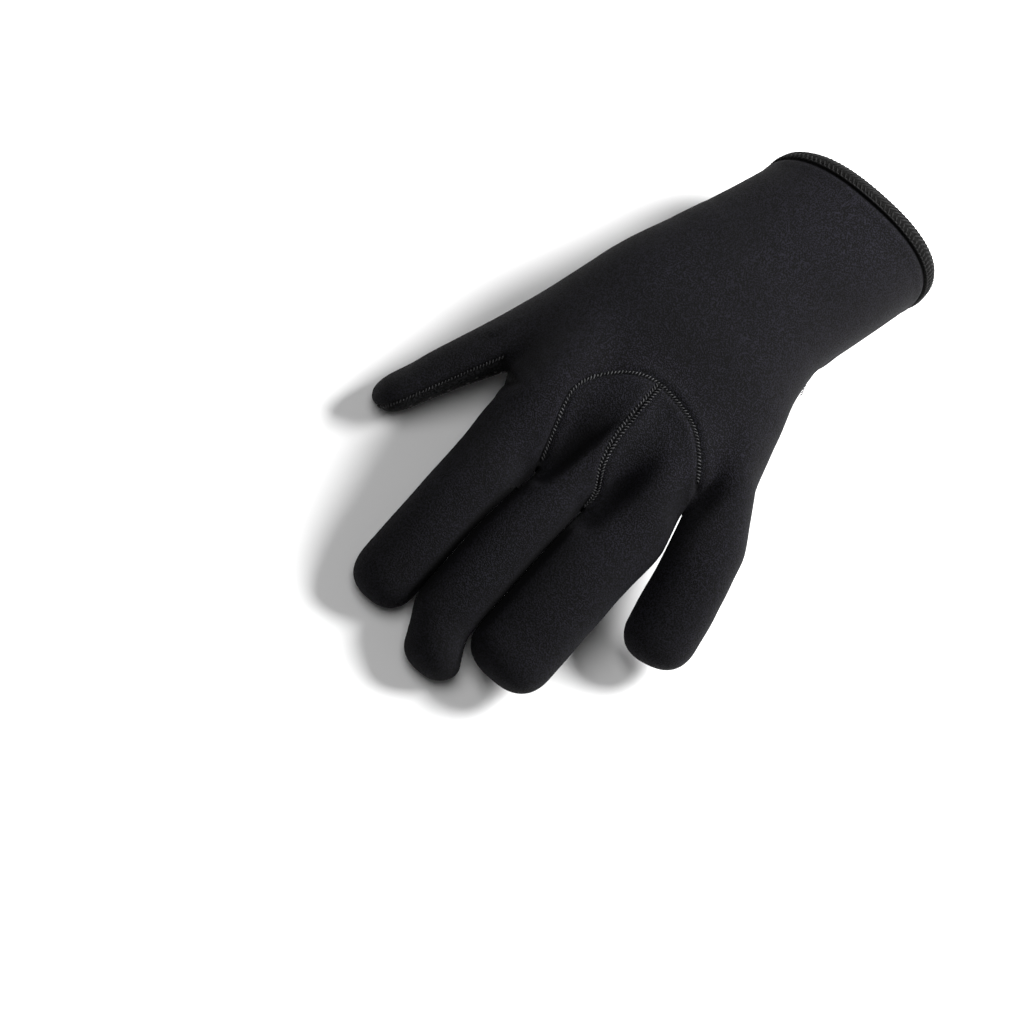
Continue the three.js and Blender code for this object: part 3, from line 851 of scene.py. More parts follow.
    def seam_distance(self, points, normals):
        """Distance to the nearest sewn line, for the grooves and the painted shade in them."""
        palm = self.palm_share(points)
        result = np.abs(palm)
        back = (palm < 0) & (normals[:, 2] > 0)
        arch, _ = line_distance(points[:, :2], self.arch)
        centre, _ = line_distance(points[:, :2], self.centre)
        inside = self.insert_share(points) > -1
        result = np.where(back, np.minimum(result, arch), result)
        result = np.where(back & inside & (points[:, 0] < self.root_line), np.minimum(result, centre), result)
        cuff, _ = line_distance(points[:, :2], self.cuff_line)
        under = (normals[:, 2] < 0) & (points[:, 0] < self.cuff_line[-1, 0])
        result = np.where(under, np.minimum(result, cuff), result)
        return np.minimum(result, np.abs(points[:, 0] - self.hand.hem_edge))


# Meshes

def surface_nets(values, origin, step):
    """A quad mesh of the zero surface of a grid of values.

    Each cell that the surface crosses gets the mean of the crossings on its edges as a vertex, and each grid
    edge that it crosses joins the four cells round it.
    """
    inside = values < 0
    shape = np.array(values.shape) - 1
    corners = np.array([(a, b, c) for a in (0, 1) for b in (0, 1) for c in (0, 1)])
    count = np.zeros(shape, np.int8)
    for a, b, c in corners:
        count += inside[a:a + shape[0], b:b + shape[1], c:c + shape[2]]
    cells = np.argwhere((count > 0) & (count < 8))
    number = np.full(shape, -1, np.int64)
    number[tuple(cells.T)] = np.arange(len(cells))
    total = np.zeros((len(cells), 3))
    hits = np.zeros(len(cells))
    for a in corners:
        for b in corners:
            if (b - a).min() < 0 or (b - a).sum() != 1:
                continue
            at_a = values[tuple((cells + a).T)]
            at_b = values[tuple((cells + b).T)]
            crossed = (at_a < 0) != (at_b < 0)
            t = np.where(crossed, at_a / np.where(crossed, at_a - at_b, 1.0), 0.0)
            total += crossed[:, None] * (a + t[:, None] * (b - a))
            hits += crossed
    points = origin + step * (cells + total / hits[:, None])
    quads = []
    for axis in range(3):
        u, v = np.eye(3, dtype=int)[(axis + 1) % 3], np.eye(3, dtype=int)[(axis + 2) % 3]
        ahead = np.roll(inside, -1, axis)
        changed = inside != ahead
        index = [slice(1, -1)] * 3
        nodes = np.argwhere(changed[tuple(index)]) + 1
        around = [nodes - u - v, nodes - v, nodes, nodes - u]
        ring = np.stack([number[tuple(n.T)] for n in around], 1)
        outwards = inside[tuple(nodes.T)]
        quads.append(np.where(outwards[:, None], ring, ring[:, ::-1]))
    return points, np.vstack(quads)


def in_triangles(points, quads):
    """Quads cut along their shorter diagonal."""
    a, b, c, d = quads.T
    short = np.linalg.norm(points[a] - points[c], axis=1) <= np.linalg.norm(points[b] - points[d], axis=1)
    first = np.where(short[:, None], np.stack([a, b, c], 1), np.stack([a, b, d], 1))
    second = np.where(short[:, None], np.stack([a, c, d], 1), np.stack([b, c, d], 1))
    return np.vstack([first, second])


def evened(points, faces, rounds):
    """Points moved halfway to the middle of their neighbours, so that the faces become even."""
    edges = np.vstack([faces[:, [k, (k + 1) % faces.shape[1]]] for k in range(faces.shape[1])])
    edges = np.unique(np.sort(edges, 1), axis=0)
    both = np.concatenate([edges[:, 0], edges[:, 1]])
    other = np.concatenate([edges[:, 1], edges[:, 0]])
    count = np.bincount(both, minlength=len(points))[:, None]
    for _ in range(rounds):
        middle = np.stack([np.bincount(both, points[other, k], len(points)) for k in range(3)], 1) / count
        points = (points + middle) / 2
    return points


def split_along(points, triangles, share):
    """Triangles split along the zero line of a function of the points, which is kept on their edges."""
    value = share(points)
    value = np.where(np.abs(value) < 1e-4, 1e-4, value)
    positive = value > 0
    count = positive[triangles].sum(1)
    whole = triangles[(count == 0) | (count == 3)]
    parted = triangles[(count == 1) | (count == 2)]
    signs = positive[parted]
    lonely = np.where((signs.sum(1) == 1)[:, None], signs, ~signs).argmax(1)
    rows = np.arange(len(parted))
    lone, left, right = (parted[rows, (lonely + k) % 3] for k in range(3))
    edges = np.sort(np.vstack([np.stack([lone, left], 1), np.stack([lone, right], 1)]), 1)
    unique, where = np.unique(edges, axis=0, return_inverse=True)
    where = where.reshape(-1) + len(points)
    a, b = unique.T
    t = (value[a] / (value[a] - value[b]))[:, None]
    added = points[a] + t * (points[b] - points[a])
    on_left, on_right = where[:len(parted)], where[len(parted):]
    pieces = [
        whole,
        np.stack([lone, on_left, on_right], 1),
        np.stack([on_left, left, right], 1),
        np.stack([on_left, right, on_right], 1),
    ]
    return np.vstack([points, added]), np.vstack(pieces)


def without_loose_points(points, faces, *extras):
    """The points that the faces use, with their extra values, and the faces renumbered."""
    used, renumbered = np.unique(faces, return_inverse=True)
    return points[used], renumbered.reshape(faces.shape), [extra[used] for extra in extras]


def new_piece(name, points, faces, material, attributes=None, replaces=None):
    """A mesh object in the frame, riding on the glove's one body."""
    mesh = bpy.data.meshes.new(name)
    mesh.vertices.add(len(points))
    mesh.vertices.foreach_set("co", np.asarray(points, np.float32).ravel())
    sides = faces.shape[1]
    mesh.loops.add(faces.size)
    mesh.loops.foreach_set("vertex_index", faces.astype(np.int32).ravel())
    mesh.polygons.add(len(faces))
    mesh.polygons.foreach_set("loop_start", np.arange(0, faces.size, sides, dtype=np.int32))
    mesh.polygons.foreach_set("use_smooth", np.ones(len(faces), bool))
    mesh.update(calc_edges=True)
    for key, values in (attributes or {}).items():
        mesh.attributes.new(key, "FLOAT", "POINT").data.foreach_set("value", np.asarray(values, np.float32))
    mesh.validate()
    mesh.materials.append(material)
    piece = bpy.data.objects.new(name, mesh)
    bpy.context.collection.objects.link(piece)
    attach(piece, "root")
    if replaces:
        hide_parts(replaces)
    return piece


def thread_stitches(starts, ends, up, radius, rise, rings=7, sides=6):
    """Short threads from starts to ends.

    Each is a tube round an arc that rises like a half sine wave, and its ends are drawn in and sink into the
    cloth.
    """
    t = np.linspace(0.0, 1.0, rings)
    along = ends - starts
    along /= np.linalg.norm(along, axis=1)[:, None]
    across = np.cross(up, along)
    across /= np.linalg.norm(across, axis=1)[:, None]
    over = np.cross(along, across)
    line = starts[:, None] + (ends - starts)[:, None] * t[:, None]
    line = line + over[:, None] * (rise * np.sin(np.pi * t) - radius * 0.6)[:, None]
    turn = np.linspace(0.0, 2 * np.pi, sides, endpoint=False)
    thick = radius * (THREAD_END + (1 - THREAD_END) * np.sin(np.pi * t) ** 0.5)
    c, s = np.cos(turn)[None, :, None], np.sin(turn)[None, :, None]
    round_ = c * across[:, None, None] + s * over[:, None, None]
    points = line[:, :, None] + thick[:, None, None] * round_
    count = len(starts)
    ring = np.arange(rings - 1)[:, None] * sides
    k = np.arange(sides)
    quad = np.stack([ring + k, ring + (k + 1) % sides, ring + sides + (k + 1) % sides, ring + sides + k], -1)
    quads = (quad.reshape(-1, 4)[None] + (np.arange(count) * rings * sides)[:, None, None]).reshape(-1, 4)
    return points.reshape(-1, 3), quads


def even_places(line, pitch):
    """Places at an even pitch along a line, as row numbers with fractions."""
    run = np.concatenate([[0.0], np.cumsum(np.linalg.norm(np.diff(line, axis=0), axis=1))])
    wanted = np.arange(0.0, run[-1], pitch)
    return np.interp(wanted, run, np.arange(len(line)))


def at_places(line, places):
    return np.stack([np.interp(places, np.arange(len(line)), column) for column in line.T], 1)


def unit(vectors):
    return vectors / np.maximum(np.linalg.norm(vectors, axis=1), 1e-9)[:, None]


def seam_frame(glove, line, places):
    """Points of a seam line on the skin, with the directions along it, across it and off the skin."""
    at = at_places(line, places)
    ahead = at_places(line, places + 0.5) - at_places(line, places - 0.5)
    up = glove.normals(at)
    along = unit(ahead)
    across = unit(np.cross(up, along))
    return at, along, across, up


# Finishes

class Wire:
    """A shader socket that takes part in Python arithmetic: each sum or product becomes a Math node."""

    def __init__(self, finish, socket):
        self.finish = finish
        self.socket = socket

    def maths(self, operation, *values):
        return self.finish.node("ShaderNodeMath", {"operation": operation}, dict(enumerate(values)))

    def __add__(self, other):
        return self.maths("ADD", self, other)

    def __rsub__(self, other):
        return self.maths("SUBTRACT", other, self)

    def __mul__(self, other):
        return self.maths("MULTIPLY", self, other)

    __radd__ = __add__
    __rmul__ = __mul__

    def eased(self, low, high):
        """0 below low and 1 above high, smoothly."""
        settings = {"interpolation_type": "SMOOTHSTEP"}
        return self.finish.node("ShaderNodeMapRange", settings, {0: self, 1: low, 2: high, 3: 0.0, 4: 1.0})


class Finish:
    """A material whose nodes are made by one method."""

    def __init__(self, name):
        self.material = bpy.data.materials.new(name)
        self.material.use_nodes = True
        self.tree = self.material.node_tree
        self.tree.nodes.clear()

    def node(self, kind, settings=None, sockets=None, output=0):
        """A node with its settings made first, and then the values or wires of its sockets."""
        made = self.tree.nodes.new(kind)
        for key, value in (settings or {}).items():
            setattr(made, key, value)
        for key, value in (sockets or {}).items():
            if isinstance(value, Wire):
                self.tree.links.new(value.socket, made.inputs[key])
            else:
                made.inputs[key].default_value = value
        return Wire(self, made.outputs[output])

    def noise(self, size, detail=2.0, roughness=0.5):
        """Noise whose features are about size metres wide."""
        place = self.node("ShaderNodeTexCoord", output="Object")
        sockets = {"Vector": place, "Scale": 1.0 / size, "Detail": detail, "Roughness": roughness}
        return self.node("ShaderNodeTexNoise", {"noise_dimensions": "3D"}, sockets)

    def attribute(self, name):
        return self.node("ShaderNodeAttribute", {"attribute_name": name}, output="Fac")

    def mixed(self, first, second, share):
        """One colour mixed into another by a share."""
        settings = {"data_type": "RGBA", "blend_type": "MIX"}
        return self.node("ShaderNodeMix", settings, {0: share, 6: first, 7: second}, output=2)

    def bump(self, height, distance, strength=1.0):
        return self.node("ShaderNodeBump", {}, {"Height": height, "Distance": distance, "Strength": strength})

    def surface(self, **sockets):
        shader = self.node(
            "ShaderNodeBsdfPrincipled", {}, {key.replace("_", " "): value for key, value in sockets.items()}
        )
        output = self.tree.nodes.new("ShaderNodeOutputMaterial")
        self.tree.links.new(shader.socket, output.inputs["Surface"])
        return self.material


def shade(base, factor):
    """A colour made lighter or darker, with its opacity."""
    return tuple(min(1.0, channel * factor) for channel in base) + (1.0,)


def jersey(name, base, grain, contrast, seam_lines=True):
    """Fine knitted jersey over foam: light and dark loops, slow patches of tone, and a nap that bumps. With
    seam_lines it also gets painted shade in the seam grooves, the finger gaps and the valleys.
    """
    finish = Finish(name)
    flecks = finish.noise(grain, detail=1.0, roughness=0.6).eased(0.43, 0.6)
    patches = finish.noise(0.035, detail=1.0).eased(0.35, 0.65)
    cloth = finish.mixed(shade(base, 1 - contrast), shade(base, 1 + contrast * 1.4), flecks)
    cloth = finish.mixed(cloth, shade((base[0], base[0], base[0]), 0.8), patches * 0.3)
    # Painted shade: the cloth is darkened in the seam grooves, in the gaps between touching fingers, and by the
    # valleys' painted shade in the valleys and beside touching fingers.
    if seam_lines:
        near = 1 - finish.attribute("seam_distance").eased(0.25, 1.5)
        cloth = finish.mixed(cloth, shade(base, 0.2), near * 0.85)
        cloth = finish.mixed(cloth, shade(base, 0.2), finish.attribute("painted_fold_shade").eased(0.03, 0.24) * 0.75)
    return finish.surface(
        Base_Color=cloth,
        Roughness=0.88 + patches * 0.05,
        Specular_IOR_Level=0.14,
        Normal=finish.bump(flecks, 0.0003, 0.9),
    )


def rubber(name, base):
    """Smooth printed rubber with small changes of gloss."""
    finish = Finish(name)
    patches = finish.noise(0.004, detail=2.0)
    return finish.surface(
        Base_Color=finish.mixed(shade(base, 0.8), shade(base, 1.25), patches),
        Roughness=0.24 + patches * 0.14,
        Specular_IOR_Level=0.55,
        Normal=finish.bump(finish.noise(0.0006), 0.00004, 0.4),
    )


def sewing_thread(name, base):
    """Twisted thread: fine light and dark strands, and lengths that are worn darker."""
    finish = Finish(name)
    strands = finish.noise(0.0004, detail=1.0).eased(0.3, 0.7)
    worn = finish.noise(0.005, detail=2.0).eased(0.35, 0.65)
    twisted = finish.mixed(shade(base, 0.3), shade(base, 1.5), strands)
    return finish.surface(
        Base_Color=finish.mixed(twisted, shade(base, 0.3), worn * 0.75),
        Roughness=0.66 + strands * 0.12,
        Specular_IOR_Level=0.25,
        Normal=finish.bump(strands, 0.00008, 0.6),
    )


def plain_floor(name, base):
    finish = Finish(name)
    tone = finish.noise(0.2, detail=1.0)
    return finish.surface(
        Base_Color=finish.mixed(shade(base, 0.985), shade(base, 1.0), tone), Roughness=0.9
    )


# Pieces

class GLOVE_OT_panels(bpy.types.Operator):
    """Works out the glove's skin, cuts it along its seams and gives each panel its neoprene wall"""

    bl_idname = "glove.panels"
    bl_label = "Sewn panels"

    def execute(self, context):
        glove = Glove(context.scene)
        colours = context.scene.glove_colours
        step = glove.seam.mesh_step
        low = np.array(GRID_LOW)
        high = np.array(GRID_HIGH)
        high[0] += glove.root_line + glove.digit.middle_reach
        axes = [np.arange(a, b, step) for a, b in zip(low, high)]
        values = np.empty([len(axis) for axis in axes])
        across = np.stack(np.meshgrid(axes[1], axes[2], indexing="ij"), -1).reshape(-1, 2)
        for k in range(0, len(axes[0]), GRID_LAYERS):
            part = axes[0][k:k + GRID_LAYERS]
            points = np.empty((len(part), len(across), 3))
            points[:, :, 0] = part[:, None]
            points[:, :, 1:] = across
            block = glove.distance(points.reshape(-1, 3))
            values[k:k + GRID_LAYERS] = block.reshape(len(part), len(axes[1]), len(axes[2]))
        points, quads = surface_nets(values, low, step)
        points = evened(points, quads, 2)
        points = glove.onto_skin(points)
        triangles = in_triangles(points, quads)

        gathered = glove.gathered
        shares = (
            lambda p: p[:, 0] - glove.hand.hem_edge + UNDER_HEM,
            lambda p: glove.palm_share(gathered(p)),
            lambda p: glove.insert_share(gathered(p)),
            lambda p: glove.ring_share(gathered(p)),
        )
        for share in shares:
            points, triangles = split_along(points, triangles, share)
        hem, palm, insert, ring = (share(points[triangles].mean(1)) > 0 for share in shares)
        normals = glove.normals(points)
        distance = glove.seam_distance(gathered(points), normals)
        between = glove.between_fingers(gathered(points), glove.seam.gap_width)
        height = points[:, 2]
        relief = self.relief(glove.seam, distance) * (1 - between)
        relief -= glove.seam.gap_relief * between * smoothstep(*ROLL_HEIGHTS, height)
        # Painted shade: the cloth is darkened by the valleys' depth and near touching fingers, where shade falls.
        painted_fold_shade = glove.valley_depth(gathered(points)) / glove.hand.palm_thickness
        painted_fold_shade = np.maximum(painted_fold_shade, GAP_SHADE * glove.between_fingers(gathered(points), glove.seam.gap_shadow))
        points = points + normals * relief[:, None]
        # Painted shadow: beside touching fingers the seam distance is brought down to zero from the lower side up, so
        # that the painted seam shade darkens the gap between them.
        distance = distance * (1 - between * smoothstep(*PLAIN_HEIGHTS, height))
        posed = glove.finished(points)

        neoprene = jersey("neoprene_jersey", colours.neoprene, 0.00052, 1.0)
        grip = jersey("grip_knit", colours.grip_fabric, 0.0011, 0.75)
        cloth = {
            "main_panel": (hem & ~palm & ~insert, "neoprene", neoprene),
            "middle_back": (hem & ~palm & insert & ~ring, "neoprene", neoprene),
            "ring_back": (hem & ~palm & insert & ring, "neoprene", neoprene),
            "palm_panel": (hem & palm, "grip_fabric", grip),
        }
        for name, (chosen, slot, material) in cloth.items():
            own, faces, (near, painted_shade_values) = without_loose_points(posed, triangles[chosen], distance, painted_fold_shade)
            attributes = {"seam_distance": near, "painted_fold_shade": painted_shade_values}
            piece = new_piece(name + "_cloth", own, faces, material, attributes, replaces=name)
            wall = piece.modifiers.new("neoprene_wall", "SOLIDIFY")
            wall.thickness = context.scene.glove_sizes.neoprene_wall
            wall.offset = -1.0
            wall.use_rim = True
        return {"FINISHED"}

    def relief(self, seam, distance):
        """A groove along each seam and a slight swelling beside it, both bell curves of the distance."""
        groove = -seam.groove_depth * np.exp(-(distance / seam.groove_width) ** 2)
        puff = seam.puff_height * np.exp(-((distance - seam.puff_place) / (PUFF_WIDTH * seam.puff_place)) ** 2)
        return groove + puff


class GLOVE_OT_hem(bpy.types.Operator):
    """Folds the binding round the edge of the cuff and overlocks it"""

    bl_idname = "glove.hem"
    bl_label = "Bound hem"

    def execute(self, context):
        glove = Glove(context.scene)
        colours = context.scene.glove_colours
        wall = glove.hand.neoprene_wall
        wide = glove.hand.hem_edge
        profile = smooth_line(
            [(wide * share + more, -wall * down + off) for share, more, down, off in HEM_PROFILE], steps=4
        )
        turn = np.linspace(0.0, 2 * np.pi, HEM_PLACES, endpoint=False)
        rim = self.rim(glove, turn)
        run = np.concatenate([[0.0], np.cumsum(np.linalg.norm(np.diff(rim, axis=0), axis=1))])
        perimeter = run[-1] + np.linalg.norm(rim[0] - rim[-1])
        stitches = round(perimeter / glove.seam.hem_pitch)
        ripple = HEM_RIPPLE * np.cos(2 * np.pi * stitches * run / perimeter)
        points = self.around(glove, turn, profile[:, 0], profile[:, 1][None, :] * (1 + ripple[:, None]))
        rows, columns = len(turn), len(profile)
        i, j = np.meshgrid(np.arange(rows), np.arange(columns), indexing="ij")
        number = lambda a, b: (a % rows) * columns + b % columns
        faces = np.stack([number(i, j), number(i + 1, j), number(i + 1, j + 1), number(i, j + 1)], -1)
        material = jersey("hem_tape", colours.hem, 0.0007, 0.7, seam_lines=False)
        new_piece(
            "hem_binding", glove.posed(points.reshape(-1, 3)), faces.reshape(-1, 4), material,
            replaces="cuff_binding",
        )

        thread = sewing_thread("hem_thread", shade(colours.thread, 0.03)[:3])
        along = np.interp(np.arange(stitches) / stitches * perimeter, run, turn)
        radius = glove.seam.hem_thread_radius
        step = 2 * np.pi / stitches
        all_points, all_faces = [], []
        for first, start, second, end in HEM_THREADS:
            starts, ends = (
                self.around(glove, along + shift * step, [x], self.on_tape(profile, x))[:, 0]
                for shift, x in ((first, start * wide), (second, end * wide))
            )
            up = unit(starts * (0.0, 1.0, 1.0))
            points, quads = thread_stitches(starts, ends, up, radius, HEM_THREAD_RISE)
            all_faces.append(quads + sum(len(p) for p in all_points))
            all_points.append(points)
        points = np.vstack(all_points)
        new_piece("hem_overlock", glove.posed(points), np.vstack(all_faces), thread)
        return {"FINISHED"}

    def on_tape(self, profile, x):
        """Height of the tape's outside at a distance from the hem."""
        outside = profile[:profile[:, 0].argmin()][::-1]
        return np.full((1, 1), np.interp(x, outside[:, 0], outside[:, 1]))

    def rim(self, glove, turn):
        """The hem's edge: a superellipse of the sleeve's first section."""
        return self.around(glove, turn, [0.0], np.zeros((1, 1)))[:, 0]

    def around(self, glove, turn, along, out):
        """Points round the cuff at distances along it and heights off its outside, for each turn."""
        along = np.asarray(along, float)
        side, other, top, bottom = glove.sleeve.section(along)
        power = 2.0 / SLEEVE_SQUARENESS
        c, s = np.cos(turn)[:, None], np.sin(turn)[:, None]
        half, middle = (other - side) / 2, (other + side) / 2
        height = np.where(s > 0, top, bottom)
        y = half * np.sign(c) * np.abs(c) ** power
        z = height * np.sign(s) * np.abs(s) ** power
        normal_y = np.sign(c) * np.abs(c) ** (2 - power) / half
        normal_z = np.sign(s) * np.abs(s) ** (2 - power) / height
        size = np.hypot(normal_y, normal_z)
        y = middle + y + out * normal_y / size
        z = z + out * normal_z / size
        return np.stack([np.broadcast_to(along, y.shape), y, z], -1)


class GLOVE_OT_stitches(bpy.types.Operator):
    """Sews the seams of the back, the sides, the thumb and the cuff with zigzag thread"""

    bl_idname = "glove.stitches"
    bl_label = "Seam stitches"

    def execute(self, context):
        glove = Glove(context.scene)
        pitch = glove.seam.stitch_pitch
        reach = glove.seam.stitch_reach
        chance = np.random.default_rng(5)
        all_points, all_faces = [], []
        for line, rows in self.seam_lines(glove):
            at, along, across, up = seam_frame(glove, line, even_places(line, pitch))
            free = self.not_touching(glove, at, up)
            uneven = chance.uniform(*STITCH_LENGTHS, (len(at), 1))
            for number, row in enumerate(rows):
                middle = at + across * row + along * (number * pitch / 2)
                way = 1.0 if number == 0 else -1.0
                lean = along * STITCH_SLANT * pitch * uneven[::-1] + across * reach * uneven * way
                starts, ends = (middle - lean)[free], (middle + lean)[free]
                points, quads = thread_stitches(starts, ends, up[free], glove.seam.thread_radius, STITCH_RISE)
                all_faces.append(quads + sum(len(p) for p in all_points))
                all_points.append(points)
        points = np.vstack(all_points)
        thread = sewing_thread("seam_thread", context.scene.glove_colours.thread)
        new_piece("seam_stitches", glove.finished(points), np.vstack(all_faces), thread)
        return {"FINISHED"}

    def not_touching(self, glove, at, up):
        """Whether places on the parted skin stay clear of the next finger once the fingers are together."""
        gathered = glove.gathered(at)
        x, y = gathered[:, 0], gathered[:, 1]
        lines = (glove.index_middle_gap, glove.middle_ring_gap)
        close = np.min([np.abs(y - line) for line in lines], 0) < glove.seam.touching
        close &= x > glove.root_line - BEHIND_WEB
        little = np.abs(y - glove.ring_little_gap(x)) < LITTLE_TOUCHING
        close |= little & (x > glove.little_web - BEHIND_WEB)
        return ~(close & (np.abs(up[:, 1]) > SIDEWAYS))

    def spread_out(self, glove, plan):
        """Plan places of the gathered glove, moved to where they lie on the parted skin."""
        places = plan.copy()
        for _ in range(4):
            points = np.column_stack([places, np.zeros(len(places))])
            places[:, 1] += plan[:, 1] - glove.gathered(points)[:, 1]
        return places

    def seam_lines(self, glove):
        up, down = [0.0, 0.0, 1.0], [0.0, 0.0, -1.0]
        drop = glove.hand.side_seam_drop
        side = glove.seam.stitch_rows
        single, double = (0.0,), (-side, side)
        lines = []
        for plan, height, direction, rows in (
            (glove.arch[6:-4], UPPER_RAYS, up, single), (self.inside_arch(glove), UPPER_RAYS, up, double),
            (glove.heel[22:], LOWER_RAYS, down, single), (glove.cuff_line[6:], LOWER_RAYS, down, single),
        ):
            places = self.spread_out(glove, plan)
            origins = np.column_stack([places, np.full(len(places), height)])
            lines.append((glove.cast(origins, direction), rows))
        for name, tube in glove.digits.items():
            lines.append((self.round_digit(glove, name, tube, drop), single))
        lines.append((self.cuff_side(glove, drop, 1.0), single))
        return lines

    def inside_arch(self, glove):
        gap, side = line_distance(glove.centre, glove.arch)
        return glove.centre[(side < 0) & (gap > 0.3)]

    def cuff_side(self, glove, drop, side):
        """The side seam of the palm's little finger edge, between the heel's line and the little finger."""
        x = np.arange(glove.heel[0, 0] + 2, glove.little_web + 1, 1.0)
        low, high, _, _ = glove.sleeve.section(x)
        origins = np.column_stack([x, (low + high) / 2 + 8, np.full(len(x), -drop)])
        return glove.cast(origins, [0.0, side, 0.0])

    def round_digit(self, glove, name, tube, drop):
        """A side seam up one side of a digit, round its tip and down the other side."""
        reach = glove.reach[name]
        start = THUMB_CROTCH * reach if name == "thumb" else 4.0
        end = reach - glove.digit.fingertip_length
        x = np.arange(start, end, 1.0)
        fan = np.radians(np.arange(90.0, -91.0, -4.0))
        side, other, _, _ = (value for value in tube.section(np.array([end])))
        middle = float((side + other)[0] / 2)
        section = [value for value in tube.section(x)]
        centre = (section[0] + section[1]) / 2
        local = np.vstack([
            np.column_stack([x, centre]),
            np.tile([end, middle], (len(fan), 1)),
            np.column_stack([x, centre])[::-1],
        ])
        local = np.column_stack([local, np.full(len(local), -drop)])
        ways = np.vstack([
            np.tile([0.0, 1.0, 0.0], (len(x), 1)),
            np.column_stack([np.cos(fan), np.sin(fan), 0 * fan]),
            np.tile([0.0, -1.0, 0.0], (len(x), 1)),
        ])
        origins = local @ tube.matrix[:3, :3].T + tube.matrix[:3, 3]
        ways = ways @ tube.matrix[:3, :3].T
        if name != "thumb":
            origins[:, 1] += glove.parting(origins[:, 0])[name]
        return glove.cast(origins, ways)


class GLOVE_OT_grip_dots(bpy.types.Operator):
    """Prints staggered rubber dots on the palm panel"""

    bl_idname = "glove.grip_dots"
    bl_label = "Grip dots"

    def execute(self, context):
        glove = Glove(context.scene)
        grip = in_millimetres(context.scene.grip_sizes)
        pitch = grip.dot_pitch
        row_pitch = pitch * math.sqrt(0.75)
        end = glove.root_line + glove.digit.middle_reach
        rows = np.arange(glove.hand.cuff_length, end, row_pitch)
        columns = np.arange(-110.0, 90.0, pitch)
        x, y = np.meshgrid(rows, columns, indexing="ij")
        y = y + (np.arange(len(rows)) % 2)[:, None] * pitch / 2
        plan = np.column_stack([x.ravel(), y.ravel()])
        origins = np.column_stack([plan, np.full(len(plan), UPPER_RAYS)])
        inside = glove.distance(origins) < -DOT_ROOM
        found = [glove.cast(origins[inside], [0.0, 0.0, -1.0])]
        thumb = glove.digits["thumb"]
        x, y = np.meshgrid(
            np.arange(THUMB_CROTCH * thumb.tip[0], thumb.tip[0], row_pitch),
            np.arange(-24.0, 24.0, pitch), indexing="ij",
        )
        y = y + (np.arange(len(x)) % 2)[:, None] * pitch / 2
        local = np.column_stack([x.ravel(), y.ravel(), np.zeros(x.size)])
        origins = local @ thumb.matrix[:3, :3].T + thumb.matrix[:3, 3]
        inside = (thumb.distance(origins) < -DOT_ROOM) & (local[:, 0] < thumb.tip[0] - DOT_END)
        found.append(glove.cast(origins[inside], -thumb.matrix[:3, 2]))
        points = np.vstack(found)
        normals = glove.normals(points)
        share = glove.palm_share(glove.gathered(points))
        kept = share > grip.dot_margin
        self.domes(glove, context, grip, points[kept], normals[kept])
        return {"FINISHED"}

    def domes(self, glove, context, grip, centres, up):
        """Each dot is a low dome: rings of a half ellipse round the skin's normal, closed at its top."""
        sides = DOT_SIDES
        lift = np.radians(DOT_RINGS)
        turn = np.linspace(0.0, 2 * np.pi, sides, endpoint=False)
        first = unit(np.cross(up, np.array([0.0, 1.0, 0.3])))
        second = np.cross(up, first)
        flat = np.cos(turn)[None, :, None] * first[:, None] + np.sin(turn)[None, :, None] * second[:, None]
        rings = (
            centres[:, None, None]
            + grip.dot_radius * np.cos(lift)[None, :, None, None] * flat[:, None]
            + grip.dot_height * np.sin(lift)[None, :, None, None] * up[:, None, None]
        )
        top = centres + grip.dot_height * up
        count = len(centres)
        each = len(lift) * sides + 1
        points = np.concatenate([rings.reshape(count, -1, 3), top[:, None]], 1).reshape(-1, 3)
        k = np.arange(sides)
        ring = np.arange(len(lift) - 1)[:, None] * sides
        a, b = ring + k, ring + (k + 1) % sides
        sides_of = np.vstack([
            np.stack([a, b, b + sides], -1).reshape(-1, 3),
            np.stack([a, b + sides, a + sides], -1).reshape(-1, 3),
        ])
        last = (len(lift) - 1) * sides
        cap = np.stack([last + k, last + (k + 1) % sides, np.full(sides, each - 1)], -1)
        one = np.vstack([sides_of, cap])
        faces = (one[None] + (np.arange(count) * each)[:, None, None]).reshape(-1, 3)
        material = rubber("grip_rubber", context.scene.glove_colours.grip_dots)
        new_piece("grip_dots", glove.finished(points), faces, material)


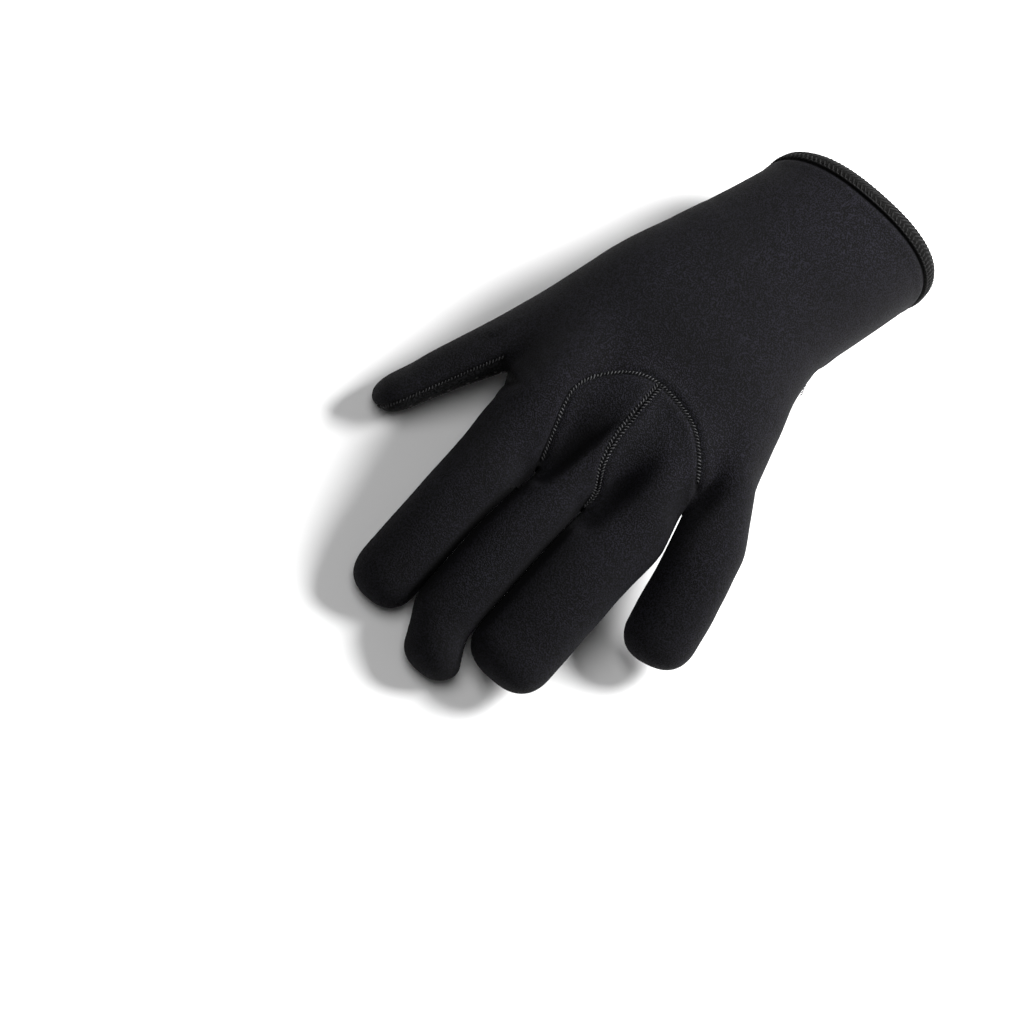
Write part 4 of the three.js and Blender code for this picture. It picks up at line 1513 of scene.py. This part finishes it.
class GLOVE_OT_stage(bpy.types.Operator):
    """Lays a pale floor, and sets soft lights and the camera at the photograph's angle"""

    bl_idname = "glove.stage"
    bl_label = "Stage"

    def execute(self, context):
        scene = context.scene
        mesh = bpy.data.meshes.new("floor")
        corners = [(x * FLOOR_REACH, y * FLOOR_REACH, 0) for x, y in ((-1, -1), (1, -1), (1, 1), (-1, 1))]
        mesh.from_pydata(corners, [], [(0, 1, 2, 3)])
        mesh.materials.append(plain_floor("pale_floor", scene.glove_colours.floor))
        floor = bpy.data.objects.new("floor", mesh)
        context.collection.objects.link(floor)
        world = bpy.data.worlds.new("soft_studio")
        world.use_nodes = True
        sky = world.node_tree.nodes["Background"].inputs
        sky["Color"].default_value = (1.0, 1.0, 1.0, 1.0)
        sky["Strength"].default_value = SKY_STRENGTH
        scene.world = world
        scene.view_settings.view_transform = "Standard"
        middle = Vector(scene.stage_settings.look_at)
        back, right, up = self.camera_axes(scene.stage_settings)
        for name, (to_right, to_back, upwards, distance, width, power) in LIGHTS.items():
            way = right * to_right + back * to_back + up * upwards
            self.light(name, middle, way, distance, width, power)
        self.set_camera(context, middle, back, right, up)
        return {"FINISHED"}

    def camera_axes(self, stage):
        """The view's directions: the camera stands at an elevation over +X and is rolled about its view."""
        elevation, roll = stage.elevation, stage.roll
        back = Vector((math.cos(elevation), 0.0, math.sin(elevation)))
        level = Vector((0.0, 1.0, 0.0))
        upright = Vector((-math.sin(elevation), 0.0, math.cos(elevation)))
        right = math.cos(roll) * level + math.sin(roll) * upright
        up = math.cos(roll) * upright - math.sin(roll) * level
        return back, right, up

    def light(self, name, target, way, distance, size, power):
        lamp = bpy.data.lights.new(name, "AREA")
        lamp.shape = "DISK"
        lamp.size = size
        lamp.energy = power
        light = bpy.data.objects.new(name, lamp)
        light.location = target + way.normalized() * distance
        light.rotation_euler = (light.location - target).to_track_quat("Z", "Y").to_euler()
        bpy.context.collection.objects.link(light)

    def set_camera(self, context, middle, back, right, up):
        stage = context.scene.stage_settings
        lens = bpy.data.cameras.new("camera")
        lens.sensor_width = 36.0
        lens.lens = lens.sensor_width * stage.distance / stage.frame_width
        camera = bpy.data.objects.new("camera", lens)
        turn = Matrix((right, up, back)).transposed().to_4x4()
        camera.matrix_world = Matrix.Translation(middle + back * stage.distance) @ turn
        context.collection.objects.link(camera)
        context.scene.camera = camera


class StageSettings(bpy.types.PropertyGroup):
    elevation: angle("Elevation", 65, "Height of the camera over the floor")
    roll: angle("Roll", 41.5, "Roll of the camera about its view")
    distance: length("Distance", 5000, "Distance of the camera from the glove")
    frame_width: length("Frame width", 379, "Width of what the camera sees at the glove")
    look_at: bpy.props.FloatVectorProperty(
        name="Look at", description="The middle of the picture", default=(0.06, -0.0092, 0.025), size=3,
        unit="LENGTH", subtype="TRANSLATION",
    )


OPERATORS = (GLOVE_OT_panels, GLOVE_OT_hem, GLOVE_OT_stitches, GLOVE_OT_grip_dots, GLOVE_OT_stage)


class GLOVE_PT_sidebar(bpy.types.Panel):
    """Lists the glove's pieces"""

    bl_idname = "GLOVE_PT_sidebar"
    bl_label = "Diving glove"
    bl_space_type = "VIEW_3D"
    bl_region_type = "UI"
    bl_category = "Diving glove"

    def draw(self, context):
        for operator in OPERATORS:
            self.layout.operator(operator.bl_idname)


GROUPS = {
    "glove_sizes": GloveSizes,
    "digit_sizes": DigitSizes,
    "digit_angles": DigitAngles,
    "seam_sizes": SeamSizes,
    "grip_sizes": GripSizes,
    "glove_colours": GloveColours,
    "stage_settings": StageSettings,
}


def register():
    for each in (*GROUPS.values(), *OPERATORS, GLOVE_PT_sidebar):
        bpy.utils.register_class(each)
    for name, group in GROUPS.items():
        setattr(bpy.types.Scene, name, bpy.props.PointerProperty(type=group))


def unregister():
    for name in GROUPS:
        delattr(bpy.types.Scene, name)
    for each in (GLOVE_PT_sidebar, *reversed(OPERATORS), *reversed(GROUPS.values())):
        bpy.utils.unregister_class(each)


def main():
    register()
    bpy.ops.glove.panels()
    bpy.ops.glove.hem()
    bpy.ops.glove.stitches()
    bpy.ops.glove.grip_dots()
    bpy.ops.glove.stage()


if __name__ == "__main__":
    main()
